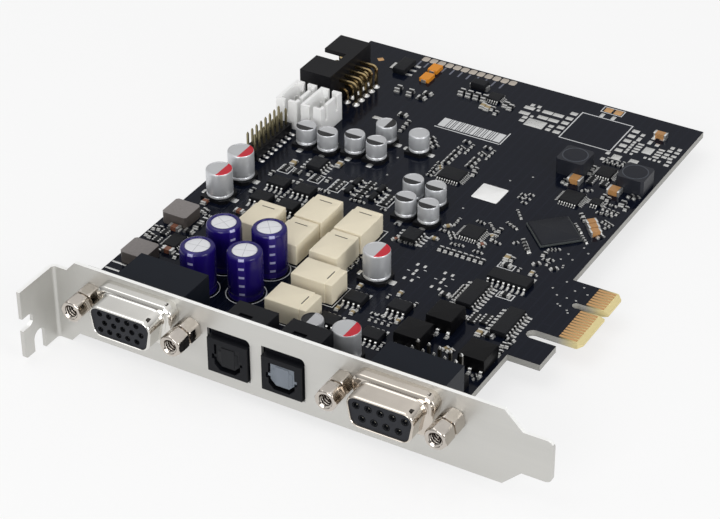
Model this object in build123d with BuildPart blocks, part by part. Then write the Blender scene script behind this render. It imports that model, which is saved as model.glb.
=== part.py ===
# Sound card for a single-lane expansion slot: a black circuit board on a folded steel bracket, with two
# D-shaped sockets, two optical jacks with sprung shutters, relays, capacitors, headers and chips.
#
# Card coordinates, in millimetres: x runs along the bracket from the outer face of its fixing tab,
# y runs along the board from the outer face of the bracket, z is height above the component face.

import os
from math import radians, tan

from build123d import *

os.makedirs("parts", exist_ok=True)

# Bracket
sheet = 0.86
bend_radius = 0.8
bracket_length = 120.0
bracket_width = 18.42
bracket_below_board = 2.27
tab_depth = 11.9
tab_set_down = 2.5
neck_length = 4.4
shoulder_run = 2.2
tongue_width = 10.19
tongue_length = 6.7
tongue_taper = 4.2
tongue_corner = 1.5
screw_slot_width = 3.8
screw_slot_from_face = 6.6
screw_slot_top = -0.5
notch_width = 3.1
notch_depth = 3.7
notch_height = 3.6
finger_trim = 1.1
finger_corner = 1.0

# Board
board_thickness = 1.57
board_left = -0.2
board_edge = 92.7
board_far = 138.9
board_setback = 0.4
edge_reach = 12.2
edge_start = 45.1
contact_pitch = 1.0
contact_width = 0.7
contact_length = 4.2
contact_plating = 0.05
contact_margin = 0.825
near_contacts = 11
far_contacts = 7
key_width = 1.9
key_depth = 8.2
bevel_run = 1.3
bevel_drop = 0.5
edge_corner = 1.0
hook_start = 34.3
hook_width = 7.7
hook_reach = 7.7
pin_side = 0.64
pin_hole_gap = 0.06
tail_length = 1.1

# D-shaped sockets
socket_height = 8.45
socket_reach = 8.3
socket_width = 16.3
socket_depth = 7.7
socket_slant = 10.0
socket_corner = 2.3
socket_wall = 0.45
collar_reach = 2.6
collar_margin = 0.8
collar_gap = 0.15
insert_gap = 0.05
insert_recess = 0.4
flange_end_margin = 2.905
flange_width = 11.2
flange_thickness = 0.8
flange_corner = 1.2
housing_width = 17.2
housing_height = 12.5
vga_x = 23.6
vga_housing_back = 12.9
vga_pitch = 2.29
vga_row_gap = 1.98
vga_contact_bore = 1.1
vga_tail_rows = (6.6, 9.1, 11.6)
vga_per_row = 5
serial_x = 85.8
serial_housing_back = 11.3
serial_pitch = 2.77
serial_per_row = 5
serial_row_gap = 2.84
serial_contact_bore = 1.3
serial_tail_reach = 2.2
contact_bore_depth = 2.5
contact_bore_side_count = 8

# Jackscrews
jack_spacing = 24.99
jack_flats = 4.7
jack_groove = 0.3
jack_groove_depth = 0.35
jack_bore = 2.5
jack_bore_depth = 6.0
jack_stud = 2.8
jack_stud_length = 3.4
jack_hole_gap = 0.2
jack_turns = (22.0, 4.0, 30.0, 12.0)
jack_side_count = 6
stud_side_count = 12

# Optical jacks
optical_centres = (45.2, 58.45)
optical_width = 9.7
optical_face_low = -0.55
optical_face_high = 7.95
optical_reach = 0.8
optical_body_height = 9.3
optical_body_back = 12.2
optical_gap = 0.35
optical_gap_above = 1.85
optical_gap_below = 0.4
optical_cut_corner = 1.2
optical_front_wall = 1.1
mouth_width = 6.3
mouth_low = 0.3
mouth_high = 6.7
mouth_chamfer = 1.3
ear_reach = 0.6
ear_height = 1.3
ear_centre = 3.5
cavity_width = 7.7
cavity_low = 0.3
cavity_high = 7.6
cavity_depth = 8.5
top_slot_length = 3.2
top_slot_width = 1.0
top_slot_depth = 0.5
top_slot_from_face = 7.9
top_slot_aside = 0.7
shutter_thickness = 0.6
shutter_setback = 0.4
shutter_gap = 0.3
shutter_gap_below = 0.9
body_setback = 0.1
pivot_height = 7.1
pivot_behind_wall = 0.7
pivot_diameter = 0.9
pivot_bearing = 0.8
pivot_gap = 0.08

# Relays
relay_length = 10.3
relay_width = 7.2
relay_height = 5.2
relay_turn = 90.0
relay_gap = 0.55
relay_edge = 0.35
relay_column_x = 33.2
relay_column_gap = 3.2
relay_block_y = 51.4
relay_row_x = 46.3
relay_row_y = 29.4
relay_row_gap = 3.7
relay_lone = (23.1, 48.3)

# Capacitors
sleeve_diameter = 8.0
sleeve_height = 11.5
sleeve_shoulder = 0.7
sleeve_spots = ((22.8, 22.8), (22.8, 33.4), (32.6, 36.6), (32.7, 26.3))
polymer_diameter = 6.3
polymer_height = 7.7
polymer_spots = ((6.4, 56.7), (6.4, 66.0), (54.7, 45.5), (63.8, 16.7))
filter_diameter = 5.0
filter_height = 5.5
filter_gap = 0.6
filter_pairs = ((14.9, 86.5), (27.0, 88.8), (48.9, 78.0), (51.0, 70.6))
filter_singles = ((28.1, 96.9), (37.2, 96.7), (54.3, 18.6))
can_base_margin = 0.15
can_base_height = 0.9
can_base_chamfer = 1.2
can_side_count = 16
sleeve_side_count = 24

# Headers and plugs on the tab-side edge
ribbon_pins = 5
ribbon_pitch = 2.54
ribbon_y = 113.75
ribbon_length = 20.0
ribbon_body = 8.6
ribbon_height = 8.9
ribbon_wall = 1.1
ribbon_cavity = 6.6
ribbon_key_width = 4.0
ribbon_key_length = 6.2
ribbon_low_pin = 3.2
ribbon_pin_reach = 6.0
ribbon_first_row = 1.9
post_pins = 8
post_pitch = 2.0
post_centre = (3.9, 81.6)
post_base_height = 2.0
post_height = 7.0
post_side = 0.5
post_leg_reach = 1.2
plug_length = 9.9
plug_width = 5.75
plug_height = 7.6
plug_wall = 0.8
plug_floor = 2.2
plug_gap = 1.2
plug_first = (3.6, 95.9)
plug_slot = 1.1
plug_slot_depth = 4.2
plug_pins = 3
plug_pitch = 2.5
plug_pin_height = 6.4
rear_header_centre = (84.4, 18.2)
rear_header_pitch = 2.54
rear_header_columns = 5
rear_header_rows = 2
rear_bar_height = 2.5
rear_pin_height = 8.5

# Wound parts
choke_side = 6.5
choke_height = 3.0
choke_edge = 0.5
choke_spots = ((4.1, 44.0), (5.0, 25.9))
inductor_side = 7.0
inductor_height = 4.0
inductor_corner = 0.6
inductor_spots = ((73.0, 108.0), (88.5, 108.0))
transformer_length = 6.4
transformer_width = 6.8
transformer_height = 3.6
transformer_spots = ((76.2, 37.6), (73.3, 28.6), (88.7, 28.6))

# Chips
chip_standoff = 0.1
chip_height = 1.5
narrow_width = 3.9
lead_pitch = 1.27
lead_thickness = 0.2
lead_end_margin = 0.5
eight_along_x = ((15.9, 67.5), (22.9, 67.5), (15.9, 59.8), (23.0, 59.8), (55.2, 35.4), (65.1, 37.4),
                 (54.3, 25.4), (65.1, 25.4))
eight_along_y = ((19.5, 79.0), (53.8, 63.2))
sixteen_along_x = ((81.1, 58.6),)
sixteen_along_y = ((76.6, 49.6), (88.0, 43.8))
array_side = 10.2
array_height = 1.1
array_spot = (80.9, 80.95)
array_turn = 45.0
codec_height = 1.0
codec_spots = (((49.3, 91.0), (6.0, 5.0)), ((65.0, 71.4), (4.9, 4.9)), ((78.2, 95.8), (5.0, 5.0)),
               ((83.9, 96.8), (2.6, 2.4)), ((80.4, 109.6), (4.2, 4.2)), ((8.2, 35.0), (3.6, 5.0)),
               ((41.6, 128.1), (3.6, 3.2)),
               ((31.4, 77.3), (1.5, 3.0)), ((31.4, 73.4), (1.5, 3.0)),
               ((37.9, 77.3), (1.5, 3.0)), ((37.9, 73.4), (1.5, 3.0)))
regulator_spot = (14.5, 130.3)
regulator_length = 6.5
regulator_width = 3.5
regulator_height = 1.6
regulator_lead_pitch = 2.3
regulator_lead_count = 3
regulator_lead_width = 0.75
regulator_tab_width = 3.0
regulator_lead_reach = 1.7
diode_spots = ((35.75, 130.9),)
diode_length = 4.1
diode_width = 2.7
diode_height = 2.0
tantalum_spots = ((21.8, 133.3), (22.1, 128.4))
tantalum_length = 3.4
tantalum_width = 2.6
tantalum_height = 1.0
ceramic_large = (3.2, 2.5)
ceramic_slim = (3.2, 1.6)
ceramic_short = (2.6, 1.7)
ceramic_height = 1.3
ceramic_spots = (((75.5, 103.1), ceramic_large, 0.0), ((85.6, 103.1), ceramic_large, 0.0),
                 ((84.7, 131.4), ceramic_slim, 0.0), ((86.8, 88.1), ceramic_short, array_turn),
                 ((88.05, 86.55), ceramic_short, array_turn), ((89.25, 84.95), ceramic_short, array_turn))

# Levels and edges that follow from the sizes above
board_under = -board_thickness
bracket_low = board_under - bracket_below_board
bracket_high = bracket_low + bracket_width
tab_low = bracket_low - tab_set_down
tab_high = bracket_high - tab_set_down
board_near = sheet + board_setback
flange_back = sheet + flange_thickness
edge_tip = board_edge + edge_reach
tail_low = board_under - tail_length
key_near = edge_start + near_contacts * contact_pitch + contact_margin - contact_pitch / 4
key_far = key_near + key_width
edge_end = key_far + far_contacts * contact_pitch + contact_margin - contact_pitch / 4

# The row frame: origin under the middle of the whole card, at its lowest point
low_x = min(board_left, 0)
card = Plane(origin=(-(low_x + bracket_length) / 2, -(board_far - tab_depth) / 2, -tab_low))


def level(height):
    """Plane parallel to the board, at a height above its component face."""
    return card.offset(height)


def facing(depth):
    """Upright plane that faces away from the board, its x along the bracket and its y up."""
    return Plane(origin=card.from_local_coords((0, depth, 0)), x_dir=(1, 0, 0), z_dir=(0, -1, 0))


def across(distance):
    """Upright plane square to the bracket, its x along the board and its y up."""
    return Plane(origin=card.from_local_coords((distance, 0, 0)), x_dir=(0, 1, 0), z_dir=(1, 0, 0))


def block(spots, length, width, low, high, turn=0.0, mode=Mode.ADD):
    """Upright boxes of one size, centred on spots of the board, between two heights."""
    with BuildSketch(level(low)) as footprint:
        with Locations(*spots):
            Rectangle(length, width, rotation=turn)
    extrude(footprint.sketch, amount=high - low, mode=mode)


def save(builder, name):
    """Label a finished piece and write its file."""
    builder.part.label = name
    export_step(builder.part, f"parts/{name}.step")


def row(count, pitch):
    """Positions of evenly spaced things, centred on zero."""
    return [(index - (count - 1) / 2) * pitch for index in range(count)]


# Pins that pass through the board
ribbon_columns = [ribbon_y + offset for offset in row(ribbon_pins, ribbon_pitch)]
ribbon_rear = board_left + ribbon_body
ribbon_rows = [ribbon_rear + ribbon_first_row, ribbon_rear + ribbon_first_row + ribbon_pitch]
ribbon_spots = [(x, y) for x in ribbon_rows for y in ribbon_columns]
plug_centres = [plug_first, (plug_first[0] + plug_width + plug_gap, plug_first[1])]
plug_spots = [(x, y + offset) for x, y in plug_centres for offset in row(plug_pins, plug_pitch)]
serial_far = serial_housing_back + serial_tail_reach
serial_near = serial_far - serial_row_gap / 2
serial_upper = [(serial_x + offset, serial_far) for offset in row(serial_per_row, serial_pitch)]
serial_lower = [(serial_x + offset, serial_near) for offset in row(serial_per_row - 1, serial_pitch)]
vga_spots = [(vga_x + offset, y) for y in vga_tail_rows for offset in row(vga_per_row, vga_pitch)]
through_spots = ribbon_spots + plug_spots + serial_upper + serial_lower

# Circuit board: outline with the slot tongue, the hook beside it, the key and the drilled pin holes
board_length = board_far - board_near
slot_width = edge_start - hook_start - hook_width
with BuildPart() as circuit_board:
    with BuildSketch(level(board_under)):
        with Locations(((board_left + board_edge) / 2, board_near + board_length / 2)):
            Rectangle(board_edge - board_left, board_length)
        with Locations((board_edge, hook_start)):
            Rectangle(hook_reach, edge_start - hook_start, align=(Align.MIN, Align.MIN))
        with Locations((board_edge, edge_start)):
            Rectangle(edge_reach, edge_end - edge_start, align=(Align.MIN, Align.MIN))
        with Locations((board_edge + edge_reach, edge_start - slot_width / 2)):
            SlotOverall(2 * edge_reach, slot_width, mode=Mode.SUBTRACT)
        with Locations((edge_tip, (key_near + key_far) / 2)):
            SlotOverall(2 * key_depth, key_width, mode=Mode.SUBTRACT)
        with Locations(*through_spots):
            Rectangle(pin_side + 2 * pin_hole_gap, pin_side + 2 * pin_hole_gap, mode=Mode.SUBTRACT)
    extrude(amount=board_thickness)
    with BuildSketch(facing(edge_end)):
        for face_height, drop in ((0, -bevel_drop), (board_under, bevel_drop)):
            with BuildLine():
                Polyline((edge_tip - bevel_run, face_height), (edge_tip, face_height),
                         (edge_tip, face_height + drop), close=True)
            make_face()
    extrude(amount=edge_end - edge_start, mode=Mode.SUBTRACT)
    corners = circuit_board.edges().filter_by(Axis.Z).group_by(Axis.X)[-1]
    chamfer([corners.sort_by(Axis.Y)[0], corners.sort_by(Axis.Y)[-1]], length=edge_corner)
save(circuit_board, "circuit_board")

# Gold contacts on both faces of the slot tongue
contact_x = edge_tip - bevel_run - contact_length / 2 - contact_plating
first_contact = edge_start + contact_margin
contact_spots = [(contact_x, first_contact + index * contact_pitch) for index in range(near_contacts)]
last_contact = edge_end - contact_margin
contact_spots += [(contact_x, last_contact - index * contact_pitch) for index in range(far_contacts)]
with BuildPart() as edge_contacts:
    block(contact_spots, contact_length, contact_width, 0, contact_plating)
    block(contact_spots, contact_length, contact_width, board_under - contact_plating, board_under)
save(edge_contacts, "edge_contacts")


def d_outline(grow):
    """Outline of a D-shaped socket, wide side up, grown or shrunk by an offset on every side."""
    half_depth = socket_depth / 2 + grow
    top = socket_width / 2 + grow
    bottom = top - 2 * half_depth * tan(radians(socket_slant))
    Polygon((-top, half_depth), (-bottom, -half_depth), (bottom, -half_depth), (top, half_depth), align=None)


def d_solid(centre, grow, near, far, mode=Mode.ADD):
    """Prism of the D outline round a socket's centre, between two depths."""
    with BuildSketch(facing(far)) as profile:
        with Locations((centre, socket_height)):
            d_outline(grow)
        fillet(profile.vertices(), socket_corner + grow)
    extrude(profile.sketch, amount=far - near, mode=mode)


# Bracket: one folded sheet, trimmed to its front outline and to its tab outline, with every cut-out
socket_centres = (vga_x, serial_x)
jack_sides_of_centre = (-jack_spacing / 2, jack_spacing / 2)
jack_spots = [(centre + offset, socket_height)
              for centre in socket_centres for offset in jack_sides_of_centre]
wide_end = bracket_length - tongue_length - tongue_taper
tongue_start = bracket_length - tongue_length
mid_height = (bracket_low + bracket_high) / 2
tongue_low = mid_height - tongue_width / 2
tongue_high = mid_height + tongue_width / 2
optical_cut_low = optical_face_low - optical_gap_below
optical_cut_high = optical_face_high + optical_gap_above
with BuildPart() as mounting_bracket:
    with BuildSketch(level(tab_low)) as fold:
        with BuildLine():
            Polyline((0, -tab_depth), (0, sheet), (bracket_length, sheet), (bracket_length, 0), (sheet, 0),
                     (sheet, -tab_depth), close=True)
        make_face()
        fillet(fold.vertices().sort_by_distance((0, sheet, 0))[0], bend_radius + sheet)
        fillet(fold.vertices().sort_by_distance((sheet, 0, 0))[0], bend_radius)
    extrude(amount=bracket_high - tab_low)
    with BuildSketch(facing(sheet)) as front:
        with BuildLine():
            Polyline((0, tab_low), (neck_length, tab_low), (neck_length + shoulder_run, bracket_low),
                     (wide_end, bracket_low), (tongue_start, tongue_low), (bracket_length, tongue_low),
                     (bracket_length, tongue_high), (tongue_start, tongue_high), (wide_end, bracket_high),
                     (neck_length + shoulder_run, bracket_high), (neck_length, tab_high), (0, tab_high),
                     close=True)
        make_face()
        tips = front.vertices().group_by(Axis.X)[-1]
        fillet(tips, tongue_corner)
        for centre in optical_centres:
            with Locations((centre, (optical_cut_low + optical_cut_high) / 2)):
                Rectangle(optical_width + 2 * optical_gap, optical_cut_high - optical_cut_low,
                          mode=Mode.SUBTRACT)
            corner = (centre + optical_width / 2 + optical_gap, optical_cut_high, 0)
            fillet(front.vertices().sort_by_distance(corner)[0], optical_cut_corner)
        with Locations(*jack_spots):
            RegularPolygon(jack_stud / 2 + jack_hole_gap, stud_side_count, mode=Mode.SUBTRACT)
    extrude(amount=sheet + tab_depth, mode=Mode.INTERSECT)
    for centre in socket_centres:
        d_solid(centre, collar_margin + collar_gap, 0, sheet, mode=Mode.SUBTRACT)
    finger_low = tab_low + finger_trim
    slot_far = -screw_slot_from_face - screw_slot_width / 2
    arch = screw_slot_top - screw_slot_width / 2
    with BuildSketch(across(0)) as tab:
        with Locations((sheet, tab_low)):
            Rectangle(tab_depth + sheet, bracket_high - tab_low, align=(Align.MAX, Align.MIN))
        with Locations((-screw_slot_from_face, arch)):
            Circle(screw_slot_width / 2, mode=Mode.SUBTRACT)
            Rectangle(screw_slot_width, arch - tab_low, align=(Align.CENTER, Align.MAX), mode=Mode.SUBTRACT)
        with Locations((-tab_depth, tab_low)):
            Rectangle(tab_depth + slot_far, finger_trim, align=(Align.MIN, Align.MIN), mode=Mode.SUBTRACT)
        with Locations((-tab_depth, notch_height)):
            SlotOverall(2 * notch_depth, notch_width, mode=Mode.SUBTRACT)
        fillet(tab.vertices().sort_by_distance((-tab_depth, finger_low, 0))[0], finger_corner)
    extrude(amount=bracket_length, mode=Mode.INTERSECT)
save(mounting_bracket, "mounting_bracket")

# D-shaped sockets: a stepped metal shell on a flange, a moulded insert with contact bores and a rear housing
vga_rows = ((vga_row_gap, -vga_pitch / 4), (0, vga_pitch / 4), (-vga_row_gap, -vga_pitch / 4))
vga_bores = [(offset + shift, rise) for rise, shift in vga_rows for offset in row(vga_per_row, vga_pitch)]
serial_bores = [(offset, serial_row_gap / 2) for offset in row(serial_per_row, serial_pitch)]
serial_bores += [(offset, -serial_row_gap / 2) for offset in row(serial_per_row - 1, serial_pitch)]
sockets = (("vga", vga_x, vga_housing_back, vga_bores, vga_contact_bore),
           ("serial", serial_x, serial_housing_back, serial_bores, serial_contact_bore))
with BuildPart() as shells:
    with BuildSketch(facing(flange_back)) as flanges:
        with Locations(*[(centre, socket_height) for centre in socket_centres]):
            Rectangle(jack_spacing + 2 * flange_end_margin, flange_width)
        chamfer(flanges.vertices(), length=flange_corner)
        with Locations(*jack_spots):
            RegularPolygon(jack_stud / 2 + jack_hole_gap / 2, stud_side_count, mode=Mode.SUBTRACT)
    extrude(amount=flange_thickness)
    for centre in socket_centres:
        d_solid(centre, collar_margin, -collar_reach, sheet)
        d_solid(centre, 0, -socket_reach, sheet)
        d_solid(centre, -socket_wall, -socket_reach, flange_back, mode=Mode.SUBTRACT)
save(shells, "socket_shells")

for name, centre, housing_back, bores, bore in sockets:
    with BuildPart() as insert:
        d_solid(centre, -socket_wall - insert_gap, insert_recess - socket_reach, flange_back)
        with BuildSketch(facing(insert_recess - socket_reach)):
            with Locations(*[(centre + x, socket_height + z) for x, z in bores]):
                RegularPolygon(bore / 2, contact_bore_side_count)
        extrude(amount=-contact_bore_depth, mode=Mode.SUBTRACT)
    save(insert, f"{name}_insert")

    with BuildPart() as housing:
        block([(centre, (flange_back + housing_back) / 2)], housing_width, housing_back - flange_back,
              0, housing_height)
    save(housing, f"{name}_housing")

# Contact tails: straight ones under the board below the first housing, bent ones behind the second
with BuildPart() as vga_tails:
    block(vga_spots, pin_side, pin_side, tail_low, board_under)
save(vga_tails, "vga_tails")


def bent_pin(start, end, high, side):
    """Square wire that leaves a body level and turns down through the board."""
    (x0, y0), (x1, y1) = start, end
    run = ((x1 - x0) ** 2 + (y1 - y0) ** 2) ** 0.5
    heading = Vector((x1 - x0) / run, (y1 - y0) / run, 0)
    upright = Plane(origin=card.from_local_coords((x0, y0, 0)), x_dir=heading,
                    z_dir=heading.cross(Vector(0, 0, 1)))
    with BuildSketch(upright) as wire:
        with BuildLine():
            Polyline((0, high - side / 2), (run - side / 2, high - side / 2), (run - side / 2, tail_low),
                     (run + side / 2, tail_low), (run + side / 2, high - side / 2),
                     (run - side / 2, high + side / 2), (0, high + side / 2), close=True)
        make_face()
    extrude(wire.sketch, amount=side / 2, both=True)


with BuildPart() as serial_tails:
    for x, y in serial_upper:
        bent_pin((x, serial_housing_back), (x, y), socket_height + serial_row_gap / 2, pin_side)
    for x, y in serial_lower:
        bent_pin((x, serial_housing_back), (x, y), socket_height - serial_row_gap / 2, pin_side)
save(serial_tails, "serial_tails")

# Jackscrews: two hexagons with a groove between them, a threaded bore in front and a stud behind
jack_half = (socket_reach - jack_groove) / 2
jack_waist = jack_flats - 2 * jack_groove_depth
with BuildPart() as jackscrews:
    for spot, turn in zip(jack_spots, jack_turns):
        for start, length, flats in ((0, jack_half, jack_flats), (-jack_half, jack_groove, jack_waist),
                                     (-jack_half - jack_groove, jack_half, jack_flats)):
            with BuildSketch(facing(start)):
                with Locations(spot):
                    RegularPolygon(flats / 2, jack_side_count, major_radius=False, rotation=turn)
            extrude(amount=length)
    with BuildSketch(facing(0)):
        with Locations(*jack_spots):
            RegularPolygon(jack_stud / 2, stud_side_count)
    extrude(amount=-jack_stud_length)
    with BuildSketch(facing(-socket_reach)):
        with Locations(*jack_spots):
            Circle(jack_bore / 2)
    extrude(amount=-jack_bore_depth, mode=Mode.SUBTRACT)
save(jackscrews, "jackscrews")

# Optical jacks: a housing that stands through the bracket, and a shutter that swings inwards on its pivot
front_wall_back = optical_front_wall - optical_reach
pivot_depth = front_wall_back + pivot_behind_wall
body_front = sheet + body_setback
body_depth = optical_body_back - body_front
shutter_high = mouth_high - shutter_gap
shutter_front = shutter_setback - optical_reach
shutter_back = shutter_front + shutter_thickness


def mouth_outline(gap, gap_below):
    """Square opening with bevelled lower corners and an ear at each side, shrunk by gaps."""
    half = mouth_width / 2 - gap
    low = mouth_low + gap_below
    high = mouth_high - gap
    Polygon((-half, high), (-half, low + mouth_chamfer), (mouth_chamfer - half, low),
            (half - mouth_chamfer, low), (half, low + mouth_chamfer), (half, high), align=None)
    with Locations((0, ear_centre)):
        Rectangle(mouth_width + 2 * ear_reach - 2 * gap, ear_height - 2 * gap)


for side, centre in zip(("left", "right"), optical_centres):
    with BuildPart() as optical_housing:
        with BuildSketch(facing(body_front)):
            with Locations((centre, optical_face_low)):
                Rectangle(optical_width, optical_face_high - optical_face_low,
                          align=(Align.CENTER, Align.MIN))
        extrude(amount=body_front + optical_reach)
        block([(centre, body_front + body_depth / 2)], optical_width, body_depth, 0, optical_body_height)
        with BuildSketch(facing(-optical_reach)):
            with Locations((centre, 0)):
                mouth_outline(0, 0)
        extrude(amount=-optical_front_wall, mode=Mode.SUBTRACT)
        block([(centre, front_wall_back + cavity_depth / 2)], cavity_width, cavity_depth,
              cavity_low, cavity_high, mode=Mode.SUBTRACT)
        with BuildSketch(across(centre - cavity_width / 2 - pivot_bearing)):
            with Locations((pivot_depth, pivot_height)):
                Circle(pivot_diameter / 2 + pivot_gap)
        extrude(amount=cavity_width + 2 * pivot_bearing, mode=Mode.SUBTRACT)
        block([(centre - top_slot_aside, top_slot_from_face)], top_slot_length, top_slot_width,
              optical_body_height - top_slot_depth, optical_body_height, mode=Mode.SUBTRACT)
    save(optical_housing, f"{side}_optical_housing")

    with BuildPart() as shutter:
        with BuildSketch(facing(shutter_back)):
            with Locations((centre, 0)):
                mouth_outline(shutter_gap, shutter_gap_below)
        extrude(amount=shutter_thickness)
        arm_width = mouth_width - 4 * shutter_gap
        arm_low = shutter_high - pivot_diameter
        block([(centre, (shutter_front + shutter_thickness / 2 + pivot_depth) / 2)], arm_width,
              pivot_depth - shutter_front - shutter_thickness / 2, arm_low, shutter_high)
        block([(centre, pivot_depth)], arm_width, pivot_diameter, arm_low, pivot_height)
        with BuildSketch(across(centre - cavity_width / 2 - pivot_bearing + pivot_gap)):
            with Locations((pivot_depth, pivot_height)):
                Circle(pivot_diameter / 2)
        extrude(amount=cavity_width + 2 * pivot_bearing - 2 * pivot_gap)
    save(shutter, f"{side}_optical_shutter")

# Relays: a block of four, a row of two turned across it, and one by itself
column_pitch = relay_width + relay_column_gap
row_pitch = relay_length + relay_gap
turned_pitch = relay_width + relay_row_gap
long_relays = [(relay_column_x + column * column_pitch, relay_block_y + half * row_pitch)
               for column in (0, 1) for half in (-0.5, 0.5)] + [relay_lone]
turned_relays = [(relay_row_x, relay_row_y + half * turned_pitch) for half in (-0.5, 0.5)]
relay_places = [(spot, relay_turn) for spot in long_relays] + [(spot, 0) for spot in turned_relays]
for number, (spot, turn) in enumerate(relay_places, start=1):
    with BuildPart() as relay:
        block([spot], relay_length, relay_width, 0, relay_height, turn)
        chamfer(relay.faces().sort_by(Axis.Z)[-1].edges(), length=relay_edge)
    save(relay, f"relay_{number}")

# Sleeved capacitors: a can with a rolled shoulder
for number, (x, y) in enumerate(sleeve_spots, start=1):
    with BuildPart() as capacitor:
        with BuildSketch(level(0)):
            with Locations((x, y)):
                RegularPolygon(sleeve_diameter / 2, sleeve_side_count)
        extrude(amount=sleeve_height)
        chamfer(capacitor.edges().group_by(Axis.Z)[-1], length=sleeve_shoulder)
    save(capacitor, f"sleeved_capacitor_{number}")


def can_set(spots, diameter, height, name):
    """Upright cans, each on a square base with two bevelled corners."""
    side = diameter + 2 * can_base_margin
    with BuildPart() as cans:
        with BuildSketch(level(can_base_height)):
            with Locations(*spots):
                RegularPolygon(diameter / 2, can_side_count)
        extrude(amount=height - can_base_height)
    save(cans, f"{name}_cans")

    with BuildPart() as bases:
        with BuildSketch(level(0)):
            with Locations(*spots):
                Polygon((-side / 2, -side / 2), (side / 2 - can_base_chamfer, -side / 2),
                        (side / 2, can_base_chamfer - side / 2), (side / 2, side / 2 - can_base_chamfer),
                        (side / 2 - can_base_chamfer, side / 2), (-side / 2, side / 2), align=None)
        extrude(amount=can_base_height)
    save(bases, f"{name}_bases")


filter_pitch = filter_diameter + 2 * can_base_margin + filter_gap
filter_spots = [(x + half * filter_pitch, y) for x, y in filter_pairs for half in (-0.5, 0.5)]
can_set(polymer_spots, polymer_diameter, polymer_height, "polymer_capacitor")
can_set(filter_spots + list(filter_singles), filter_diameter, filter_height, "filter_capacitor")

# Ribbon header: an open shroud on the board edge, keyed in its upper wall, with two rows of bent pins
with BuildPart() as ribbon_shroud:
    block([(board_left + ribbon_body / 2, ribbon_y)], ribbon_body, ribbon_length, 0, ribbon_height)
    block([(board_left + ribbon_cavity / 2, ribbon_y)], ribbon_cavity, ribbon_length - 2 * ribbon_wall,
          ribbon_wall, ribbon_height - ribbon_wall, mode=Mode.SUBTRACT)
    block([(board_left + ribbon_key_length / 2, ribbon_y)], ribbon_key_length, ribbon_key_width,
          ribbon_height - ribbon_wall, ribbon_height, mode=Mode.SUBTRACT)
    ribbon_levels = (ribbon_low_pin, ribbon_low_pin + ribbon_pitch)
    with BuildSketch(across(board_left + ribbon_body)):
        with Locations(*[(y, z) for y in ribbon_columns for z in ribbon_levels]):
            Rectangle(pin_side + 2 * pin_hole_gap, pin_side + 2 * pin_hole_gap)
    extrude(amount=-ribbon_body, mode=Mode.SUBTRACT)
save(ribbon_shroud, "ribbon_shroud")

ribbon_pin_start = board_left + ribbon_body - ribbon_pin_reach
with BuildPart() as ribbon_pins_bent:
    for y in ribbon_columns:
        for x, z in zip(ribbon_rows, ribbon_levels):
            bent_pin((ribbon_pin_start, y), (x, y), z, pin_side)
save(ribbon_pins_bent, "ribbon_pins")

# Post header: a low bar with two rows of upright posts that turn outwards under it
post_x, post_y = post_centre
post_rows = [(post_x - post_pitch / 2, -1), (post_x + post_pitch / 2, 1)]
post_columns = [post_y + offset for offset in row(post_pins, post_pitch)]
leg_length = post_pitch / 2 + post_side / 2 + post_leg_reach
with BuildPart() as post_bar:
    block([post_centre], 2 * post_pitch, post_pins * post_pitch, post_side, post_side + post_base_height)
save(post_bar, "post_bar")

with BuildPart() as posts:
    for x, side in post_rows:
        block([(x, y) for y in post_columns], post_side, post_side, post_side + post_base_height, post_height)
        block([(x + side * (leg_length - post_side) / 2, y) for y in post_columns], leg_length, post_side,
              0, post_side)
save(posts, "post_pins")

# Upright plug headers: open boxes with slotted walls and three posts each
for number, (x, y) in enumerate(plug_centres, start=1):
    with BuildPart() as plug_header:
        block([(x, y)], plug_width, plug_length, 0, plug_height)
        block([(x, y)], plug_width - 2 * plug_wall, plug_length - 2 * plug_wall, plug_floor, plug_height,
              mode=Mode.SUBTRACT)
        slot_low = plug_height - plug_slot_depth
        block([(x, y)], plug_slot, plug_length, slot_low, plug_height, mode=Mode.SUBTRACT)
        block([(x + plug_width / 2, y + half * plug_pitch) for half in (-1, 1)], 2 * plug_wall, plug_slot,
              slot_low, plug_height, mode=Mode.SUBTRACT)
        block([(x, y + offset) for offset in row(plug_pins, plug_pitch)], pin_side + 2 * pin_hole_gap,
              pin_side + 2 * pin_hole_gap, 0, plug_floor, mode=Mode.SUBTRACT)
    save(plug_header, f"plug_header_{number}")

with BuildPart() as plug_posts:
    block(plug_spots, pin_side, pin_side, tail_low, plug_pin_height)
save(plug_posts, "plug_posts")

# Two-row pin header behind the nine-way socket: a low bar with square pins standing on it
rear_spots = [(rear_header_centre[0] + along, rear_header_centre[1] + over)
              for along in row(rear_header_columns, rear_header_pitch)
              for over in row(rear_header_rows, rear_header_pitch)]
with BuildPart() as rear_bar:
    block([rear_header_centre], rear_header_columns * rear_header_pitch, rear_header_rows * rear_header_pitch,
          0, rear_bar_height)
save(rear_bar, "rear_header_bar")

with BuildPart() as rear_pins:
    block(rear_spots, pin_side, pin_side, rear_bar_height, rear_pin_height)
save(rear_pins, "rear_header_pins")

# Wound parts
with BuildPart() as chokes:
    block(choke_spots, choke_side, choke_side, 0, choke_height)
    chamfer(chokes.edges().filter_by(Axis.Z), length=choke_edge)
save(chokes, "input_chokes")

with BuildPart() as power_inductors:
    block(inductor_spots, inductor_side, inductor_side, 0, inductor_height)
    chamfer(power_inductors.edges().filter_by(Axis.Z), length=inductor_corner)
save(power_inductors, "power_inductors")

for number, spot in enumerate(transformer_spots, start=1):
    with BuildPart() as transformer:
        block([spot], transformer_length, transformer_width, chip_standoff, transformer_height)
    save(transformer, f"pulse_transformer_{number}")

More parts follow.
